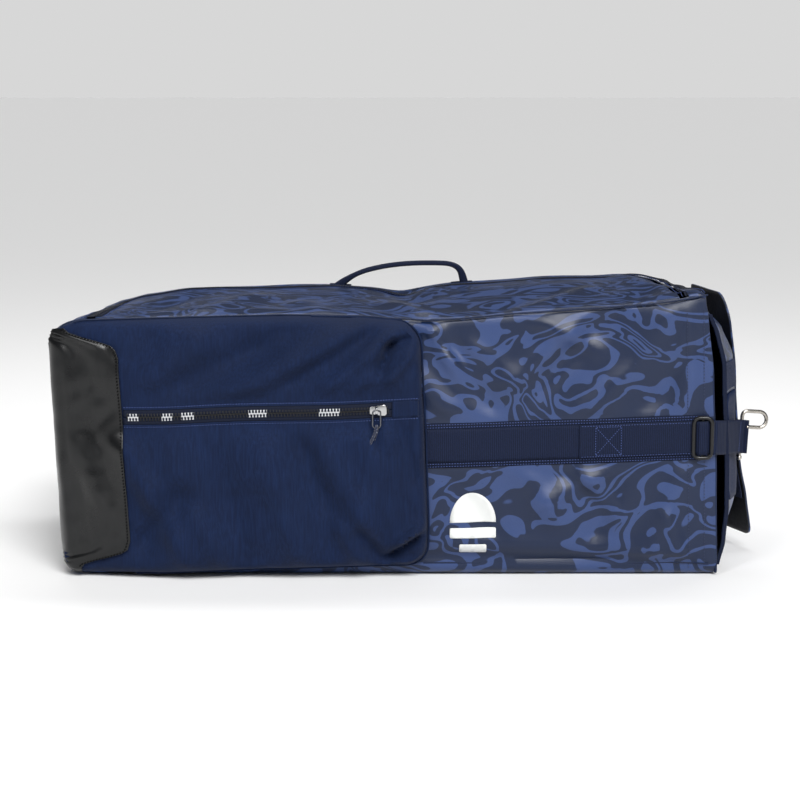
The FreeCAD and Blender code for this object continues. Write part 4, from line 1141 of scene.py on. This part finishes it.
def adjuster():
    low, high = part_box("strap_adjuster")
    c = (low + high) / 2 / MM
    corners = [c + Vector(d) for d in ((0, 0, 22.2), (10, 0, 22.2), (10, 0, -22.2), (-10, 0, -22.2), (-10, 0, 22.2),
                                       (0, 0, 22.2))]
    loop = bend(corners, 6.5, 6)
    frame_bar = rod(loop, 2.25, 12)
    bmesh.ops.remove_doubles(frame_bar, verts=frame_bar.verts, dist=0.05)
    middle = rod([c + Vector((0, 0.4, z)) for z in (-21, 0, 21)], 1.3, 10)
    piece("adjuster_loop", join(frame_bar, middle), [MOULDED_FINE], "adjuster", ["strap_adjuster"],
          recalculate=True)
    # The webbing climbs over the middle bar and back down.
    low_y, crest = FRONT - 5.3, c.y - 2.6
    path = [(-20, low_y + 0.6), (-8.0, low_y), (-4.0, crest), (4.0, crest), (7.2, low_y), (11, low_y)]
    plan = bend([Vector((c.x + dx, y, 0)) for dx, y in path], 1.6, 5)

    def spot(u, v):
        p = point_along(plan, u)
        return Vector((p.x, p.y, c.z + (p.x - c.x) * STRAP_LEAN + lerp(-18.6, 18.6, v)))
    o = piece("adjuster_web_hump", mapped_grid(len(plan) * 2, 8, spot), [WEBBING], "adjuster",
              ["adjuster_webbing"])
    thicken(o, 1.2)


TONGUE_TURN, TONGUE_DROOP, TONGUE_LONG = 59.6, 7.8, 73.0
TONGUE_ROOT = Vector((365.5, -156.5, 156.2))
ADJUST_X = 349.0


def tongue_frame():
    return (Matrix.Translation(TONGUE_ROOT) @ Matrix.Rotation(math.radians(TONGUE_TURN), 4, "Z")
            @ Matrix.Rotation(math.radians(TONGUE_DROOP), 4, "Y"))


def tongue():
    frame_4 = tongue_frame()
    back = frame_4.inverted()
    start = back @ Vector((ADJUST_X + 9, FRONT - 5.6, 156.6))
    knee = back @ Vector((ADJUST_X + 15, FRONT - 5.4, 156.7))
    loop = [Vector((TONGUE_LONG - 6, -1.5, 0)), Vector((TONGUE_LONG + 3.4, -3.4, 0)),
            Vector((TONGUE_LONG + 3.4, 3.4, 0)), Vector((TONGUE_LONG - 6, 1.5, 0)), Vector((22, 1.5, 0))]
    path = bend([start, knee, Vector((16, -1.3, 0)), *loop], [3.5, 6, 2, 2.9, 2.9, 2], 6)

    def spot(u, v):
        p = point_along(path, u)
        sag = 0.8 * math.sin(math.pi * clamp(p.x / TONGUE_LONG)) * (2 * v - 1)
        rise = 0 if p.x > 10 else p.z * (1 - p.x / 40)
        return frame_4 @ (Vector((p.x, p.y + sag * 0.5, rise)) + Vector((0, 0, lerp(-18.8, 18.8, v))))
    o = piece("strap_tongue_web", mapped_grid(len(path) * 2, 12, spot), [WEBBING], "bag",
              ["strap_tongue"])
    thicken(o, 1.3, 0, 0.0)
    line = [frame_4 @ Vector((TONGUE_LONG - 9, -2.4, z)) for z in spread(-17, 17, 12)]
    sew("strap_tongue_stitching", [line], frame_4.to_3x3() @ OUT, (2.8, 1.9, 0.45), THREAD, "bag")


def hook():
    points = [Vector(p) for p in ((0, 0, -23.5), (0, 0, 29), (30, 0, 29), (30, 0, 11), (7.5, 0, 11))]
    path = bend(points, [6, 8.9, 8.9], 10)
    wire = rod(path, 2.15, 14)
    ball = bmesh.new()
    bmesh.ops.create_uvsphere(ball, u_segments=14, v_segments=9, radius=3.1,
                              matrix=Matrix.Translation((0, 0, -23.8)))
    tip = bmesh.new()
    bmesh.ops.create_uvsphere(tip, u_segments=14, v_segments=9, radius=2.15, matrix=Matrix.Translation((7.5, 0, 11)))
    bm = join(wire, ball, tip)
    turn = tongue_frame() @ Matrix.Translation((TONGUE_LONG, 0, 0)) @ Matrix.Rotation(math.radians(-44.6), 4, "Z")
    bmesh.ops.transform(bm, matrix=turn, verts=bm.verts)
    piece("g_hook_wire", bm, [PEWTER], "hook", ["g_hook"], recalculate=True)


strap()
adjuster()
tongue()
hook()


# ---------------------------------------------------------------- printed sign
def badge():
    """A generic sign: a dome over two bars, printed on the front."""
    bm = bmesh.new()

    def patch(points):
        bm.faces.new([bm.verts.new((x, 0, z)) for x, z in points])
    mid = 98.5
    dome = [(mid + 25.5 * math.cos(math.pi * k / 24), 61 + 33 * math.sin(math.pi * k / 24)) for k in range(25)]
    patch(dome)
    for half, z0, z1 in ((25.5, 44, 55), (15, 27, 37)):
        patch([(mid - half, z0), (mid + half, z0), (mid + half, z1), (mid - half, z1)])
    bmesh.ops.bevel(bm, geom=[v for v in bm.verts if v.calc_edge_angle(0) is not None and abs(v.co.z) < 56], offset=1.6,
                    affect="VERTICES", segments=4, profile=0.5, material=-1)
    cut_fine(bm, 6, 3, use_grid_fill=True)
    for v in bm.verts:
        v.co.y = front_y(v.co.x, v.co.z) - 0.5
    bmesh.ops.recalc_face_normals(bm, faces=bm.faces)
    if bm.faces[:][0].normal.y > 0:
        bmesh.ops.reverse_faces(bm, faces=bm.faces)
    thicken(piece("front_sign_print", bm, [PRINT], "bag", ["front_badge"]), 0.4)


badge()


# ---------------------------------------------------------------- seams of the body
def seam_lines():
    """The upright rows by the mouth, and the folded seams along the top and bottom of the front."""
    lines = [[lay_on_front(lerp(low_x, high_x, z / 296), z, 0.35) for z in spread(8, 296, 70)]
             for low_x, high_x in ((338.5, 328.5), (355.5, 347.5))]
    sew("mouth_end_stitching", lines, OUT, (3.6, 2.3, 0.6), THREAD_DARK, "bag")
    top_fold = [Vector((x, FRONT - 0.6 - 1.2 * smooth((x - 40) / 30), straight_top(x) - along(x, EDGE_DROP) - 0.8))
                for x in spread(-336, 351, 140)]
    piece("top_edge_welt", rod(top_fold, 1.0, 8), [EDGING], "bag", ["front_welts"])
    low_fold = [Vector((x, front_y(x, 16) - 0.2, 13.0 + 1.5 * math.sin(x / 40))) for x in spread(44, 360, 90)]
    piece("bottom_edge_welt", rod(low_fold, 0.9, 8), [EDGING], "bag")


seam_lines()


# ---------------------------------------------------------------- main zip round the lid
def lid_path(grow, step=4.0):
    """Points along the lid's zip line, from the front left, round the rear, to the front right."""
    x0, x1, y1, r = LID_LEFT - grow, LID_RIGHT + grow, LID_REAR + grow, LID_ROUND + grow
    flat = [Vector((x0, -140, 0)), Vector((x0, y1, 0)), Vector((x1, y1, 0)), Vector((x1, -140, 0))]
    corners = bend(flat, r, 8)
    out = []
    for a, b in zip(corners, corners[1:]):
        n = max(1, round((b - a).length / step))
        out += [a.lerp(b, i / n) for i in range(n)]
    out.append(corners[-1])
    return out


def even(points, count):
    """The same path as count evenly spaced points."""
    lengths = [0.0]
    for a, b in zip(points, points[1:]):
        lengths.append(lengths[-1] + (b - a).length)
    out, j = [], 0
    for i in range(count):
        s = lengths[-1] * i / (count - 1)
        while j < len(lengths) - 2 and lengths[j + 1] < s:
            j += 1
        out.append(points[j].lerp(points[j + 1], (s - lengths[j]) / max(lengths[j + 1] - lengths[j], 1e-9)))
    return out


def lid_line(grow, count, proud):
    """The same line as evenly spaced points laid on the top."""
    return [Vector((p.x, p.y, top_height(p.x, p.y) + proud)) for p in even(lid_path(grow), count)]


def main_zip():
    tooth = tooth_template(3.6, 2.0, 2.0)
    for name, sign, body in (("lid", -1, None), ("body", 1, "bag")):
        inner = lid_line(sign * 0.4, 320, 0.1)
        outer = lid_line(sign * 9.0, 320, 0.7)
        bm = mapped_grid(319, 3, lambda u, v, a=inner, b=outer: a[round(u * 319)].lerp(b[round(u * 319)], v))
        turn_out(bm, UP)
        tape = piece(f"main_zip_tape_{name}_side", bm, [ZIP_TAPE], body, [f"main_zip_{name}_tape"])
        spots = resample(lid_line(0.0, 400, 0.5)[(1 if sign > 0 else 0):], 3.2)
        if sign > 0:
            spots = [(s + r * 1.6, r) for s, r in spots]

        def side(run, k=sign):
            return Vector((-run.y, run.x, 0)).normalized() * k
        teeth_bm = teeth_along(spots, side, UP, tooth, 1.2)
        teeth = piece(f"main_zip_teeth_{name}_side", teeth_bm, [TEETH_PLAIN], body,
                      [f"main_zip_{name}_teeth"], recalculate=True)
        thread = sew(f"main_zip_stitching_{name}_side", [lid_line(sign * 12.0, 300, 0.5)], UP, (3.2, 2.1, 0.5), THREAD,
                     body)
        if sign < 0:
            for o in (tape, teeth, thread):
                blend_lid(o)


main_zip()


# ---------------------------------------------------------------- grab handle
HANDLE_LINE = [(-60, -1), (-46, 9), (-28, 17.5), (0, 23), (30, 25.2), (62, 24.4), (82, 22.6), (93, 15), (97, -1)]


def grab_handle():
    low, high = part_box("grab_handle")
    y = (low.y + high.y) / 2 / MM
    path = [Vector((x, y, straight_top(x) + z + 2.0)) for x, z in HANDLE_LINE]
    fine = even(round_off(path), 70)
    depthways = Vector((0, 1, 0))
    outs = [depthways.cross(direction_at(fine, i)).normalized() for i in range(70)]
    bm = bmesh.new()
    rows = []
    for i, (p, out) in enumerate(zip(fine, outs)):
        t = i / 69
        foot = smooth(min(t, 1 - t) / 0.18)
        wide, thick = lerp(4.2, 6.2, foot), lerp(5.0, 3.0, foot)
        ring = []
        for k in range(12):
            a = 2 * math.pi * k / 12
            ca, sa = math.cos(a), math.sin(a)
            sq = max(abs(ca), abs(sa)) ** 0.55
            ring.append(bm.verts.new(p + depthways * wide * ca / sq + out * thick * sa / sq))
        rows.append(ring)
    loft(bm, rows)
    piece("grab_handle_webbing", bm, [HANDLE_WEB], "handle", ["grab_handle"], recalculate=True)
    stitched = bmesh.new()
    for sign in (-1, 1):
        line = [fine[i] - outs[i] * 0.2 + depthways * sign * 6.0 for i in range(12, 58)]
        stitches(stitched, line, depthways * sign, 3.0, 2.0, 0.4)
    piece("grab_handle_stitching", stitched, [THREAD_DARK], "handle")
    anchors = bmesh.new()
    for x in (-55, 94):
        base = block(x - 13, x + 13, y - 7, y + 7, 0, 1.6, 6)
        for v in base.verts:
            v.co.z += top_height(v.co.x, min(v.co.y, 126)) - 0.6
        anchors = join(anchors, base)
    piece("handle_anchor_patches", anchors, [HANDLE_WEB], "bag", ["handle_anchors"], recalculate=True)


grab_handle()


# ---------------------------------------------------------------- mouth end
def slip_pocket_x(y, z):
    """The slip pocket's outer face, as the distance along the bag."""
    plan = along(y, [(-138, 13.5), (-70, 35), (0, 27), (40, 12), (66, 2)])
    full = along(z, [(7, 0.16), (36, 0.7), (74, 1), (236, 1), (268, 0.72), (292, 0.2)])
    soft = 1.2 * waves(0, y, z, 50, 2.2) + folds(y, z, [(-120, 250, -60, 180, 12, 2.0), (-90, 40, -40, 110, 14, -1.8)])
    return along(z, RIGHT_EDGE) - 0.5 + plan * full + soft * smooth(min(y + 138, 66 - y, z - 7, 292 - z) / 20)


def on_slip_pocket(y, z, proud=0.0):
    return Vector((slip_pocket_x(y, z) + proud, y, z))


def end_pocket():
    def spot(u, v):
        return on_slip_pocket(lerp(-138, 66, u), lerp(7, 292, v))
    o = piece("end_slip_pocket_cloth", mapped_grid(48, 60, spot), [TARPAULIN, LINING], "bag",
              ["end_slip_pocket"], rest=True)
    thicken(o, 2.0, 1)
    hem = [on_slip_pocket(-137, z, 0.5) - Vector((0, 0.5, 0)) for z in spread(9, 290, 60)]
    piece("end_slip_pocket_hem", strip(hem, 5.0, 1.6, Vector((1, 0.35, 0))), [WEBBING_BASE], "bag")
    line = [on_slip_pocket(-131, z, 0.4) for z in spread(10, 289, 60)]
    sew("end_slip_pocket_stitching", [line], Vector((1, -0.3, 0)), (3.2, 2.0, 0.42), THREAD_DARK, "bag")


def end_patches():
    outline = [(-122, 85), (-115, 78), (-78, 78), (-78, 198), (-115, 198), (-122, 191)]
    bm = bmesh.new()
    bm.faces.new([bm.verts.new((0, y, z)) for y, z in outline])
    cut_fine(bm, 9, 4)
    for v in bm.verts:
        v.co = on_slip_pocket(v.co.y, v.co.z, 1.8)
    turn_out(bm, Vector((1, 0, 0)))
    thicken(piece("end_patch_sheet", bm, [RUBBER], "bag", ["end_patch"]), 1.6)

    def spot(u, v):
        y, z = lerp(-128, -84, u), lerp(203, 234, v)
        return on_slip_pocket(y, z, 2.4 + 0.7 * waves(9, y, z, 1.6, 0.4))
    thicken(piece("end_loop_pile", mapped_grid(60, 44, spot), [PILE], "bag", ["end_loop_tape"]), 1.6)


FLAP_HINGE, FLAP_TURN = Vector((371, 92, 0)), -72.0
FLAP_NEAR, FLAP_LONG, FLAP_LOW, FLAP_HIGH = 1.5, 131.5, 20, 300


def flap_lean(z):
    """How far the flap's free edge stands off its plane: in at the top, out where its foot kicks away."""
    return along(z, [(20, 16), (60, 9), (110, 0), (200, -5), (300, -21)])



def flap_wave(a, z):
    """The flap's slow wave, which grows towards its free edge."""
    return 2.2 * math.sin(z / 46.0 + 0.6) * (a / FLAP_LONG) ** 2


def flap():
    turn = Matrix.Translation(FLAP_HINGE) @ Matrix.Rotation(math.radians(FLAP_TURN), 4, "Z")
    corners = {(1, 1): 38, (1, 0): 8, (0, 0): 3, (0, 1): 3}

    def spot(u, v):
        a, z = round_corners(lerp(FLAP_NEAR, FLAP_LONG, u), lerp(FLAP_LOW, FLAP_HIGH, v), FLAP_NEAR, FLAP_LONG,
                             FLAP_LOW, FLAP_HIGH, corners)
        free = a / FLAP_LONG
        wave = flap_wave(a, z) + waves(a, z, 0, 34, 4.4)
        return turn @ Vector((a, 1.5 + wave + free * flap_lean(z), z - 3 * free * smooth((80 - z) / 60)))
    bm = mapped_grid(34, 70, spot)
    turn_out(bm, turn.to_3x3() @ Vector((0, 1, 0)))
    o = piece("end_flap_cloth", bm, [TARPAULIN, LINING], "flap", ["end_flap"], rest=True)
    thicken(o, 2.2, 1)

    def tape(u, v):
        a, z = lerp(FLAP_LONG - 30, FLAP_LONG - 5, u), lerp(60, 236, v)
        wave = flap_wave(a, z) + a / FLAP_LONG * flap_lean(z)
        return turn @ Vector((a, wave - 2.2 - 0.8 * waves(a, z, 0, 1.7, 6.2), z))
    o = piece("flap_hook_pile", mapped_grid(40, 180, tape), [PILE], "flap", ["flap_hook_tape"])
    thicken(o, 1.2, 0, 0.0)
    seam = strip([Vector((367.5, FLAP_HINGE.y, z)) for z in spread(20, 291, 40)], 14, 5, Vector((0, 1, 0)))
    piece("flap_seam_binding", seam, [WEBBING_BASE], "bag", ["flap_seam"])


def mouth_rim():
    """The bound edge round the mouth end."""
    corners = ((-150, 4), (-150.5, 296), (140, 288), (148, 275), (148, 10), (140, 3), (-150, 4))
    path = even([Vector((360, y, z)) for y, z in corners], 160)
    for p in path:
        p.x = skin_point(HALF_LONG, p.y, p.z * BLOCK_HIGH / straight_top(HALF_LONG)).x - 1.0
    piece("mouth_rim_binding", rod(path, 1.6, 8), [EDGING], "bag")


end_pocket()
end_patches()
flap()
mouth_rim()


# ---------------------------------------------------------------- carried-over nodes
NODE_FINISHES = {
    "frame_sheet": SHEET, "trolley_foot": MOULDED, "trolley_head": MOULDED, "outer_tubes": ANODISED,
    "mid_tubes": ANODISED, "inner_tubes": ANODISED, "lock_plugs": MOULDED, "trolley_grip": MOULDED,
    "grip_button": MOULDED_FINE, "release_rods": STEEL, "wheel_axles": STEEL, "skid_rails": MOULDED,
    "skid_rail_screws": STEEL, "main_zip_slider": SILVER, "main_zip_pull": SILVER,
    **{f"wheel_{what}_{side}": finish for side in ("lower", "upper")
       for what, finish in (("housing", MOULDED), ("tyre", TYRE), ("hub", MOULDED_FINE), ("bearings", STEEL))},
}
for node_name, finish in NODE_FINISHES.items():
    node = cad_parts[node_name]
    node.data.materials.clear()
    node.data.materials.append(finish)


# ---------------------------------------------------------------- stage, light and camera
SKYLINE, SKY_ABOVE, SUN_POWER = 0.68, 0.08, 3.1
SOFTBOXES = (
    ("key", (-0.9, -1.8, 1.6), (0.6, 1.2), 14),
    ("fill", (1.5, -1.8, 1.3), (0.4, 1.2), 8),
    ("top", (0.1, 0.6, 2.0), (2.0, 0.5), 19),
)


def aim(data, place):
    """Hangs a lamp at a place and turns it to the bag's middle."""
    lamp = bpy.data.objects.new(data.name, data)
    lamp.location = place
    lamp.rotation_mode = "QUATERNION"
    lamp.rotation_quaternion = (Vector((0, 0, 0.15)) - Vector(place)).to_track_quat("-Z", "Y")
    bpy.context.scene.collection.objects.link(lamp)


CAMERA_BACK, CAMERA_RIGHT, CAMERA_UP, CAMERA_DIP = 2035, 18.2, 534, 9.39  # mm, and degrees below level


def studio():
    bm = bmesh.new()
    bmesh.ops.create_grid(bm, x_segments=1, y_segments=1, size=150.0)
    mesh = bpy.data.meshes.new("floor")
    bm.to_mesh(mesh)
    bm.free()
    floor = bpy.data.objects.new("floor", mesh)
    bpy.context.scene.collection.objects.link(floor)
    white, _, _ = finish_of("Matt white floor", {"Base Color": srgb("#f2f2f2"), "Roughness": 0.9})
    mesh.materials.append(white)

    bpy.context.scene.view_settings.view_transform = "Standard"
    world = bpy.data.worlds.new("studio")
    world.use_nodes = True
    tree = world.node_tree
    background = tree.nodes["Background"]
    rise = add(tree, "SeparateXYZ", {0: add(tree, "TexCoord").outputs["Generated"]}).outputs["Z"]
    tree.links.new(ramp(tree, rise, [(0.05, SKYLINE), (0.14, SKY_ABOVE)]), background.inputs["Color"])
    background.inputs["Strength"].default_value = 1.0
    bpy.context.scene.world = world

    sun = bpy.data.lights.new("daylight", "SUN")
    sun.energy, sun.angle = SUN_POWER, math.radians(28)
    aim(sun, (0.2, -0.6, 0.77))
    for name, place, size, power in SOFTBOXES:
        data = bpy.data.lights.new(name, "AREA")
        data.shape = "RECTANGLE"
        data.size, data.size_y = size
        data.energy = power
        aim(data, place)

    lens = bpy.data.cameras.new("camera")
    lens.lens = 85.0
    lens.sensor_width = 36.0
    lens.clip_end = 100
    camera = bpy.data.objects.new("camera", lens)
    camera.location = (CAMERA_RIGHT * MM, (FRONT - CAMERA_BACK) * MM, CAMERA_UP * MM)
    camera.rotation_euler = (math.radians(90 - CAMERA_DIP), 0, 0)
    bpy.context.scene.collection.objects.link(camera)
    bpy.context.scene.camera = camera


studio()
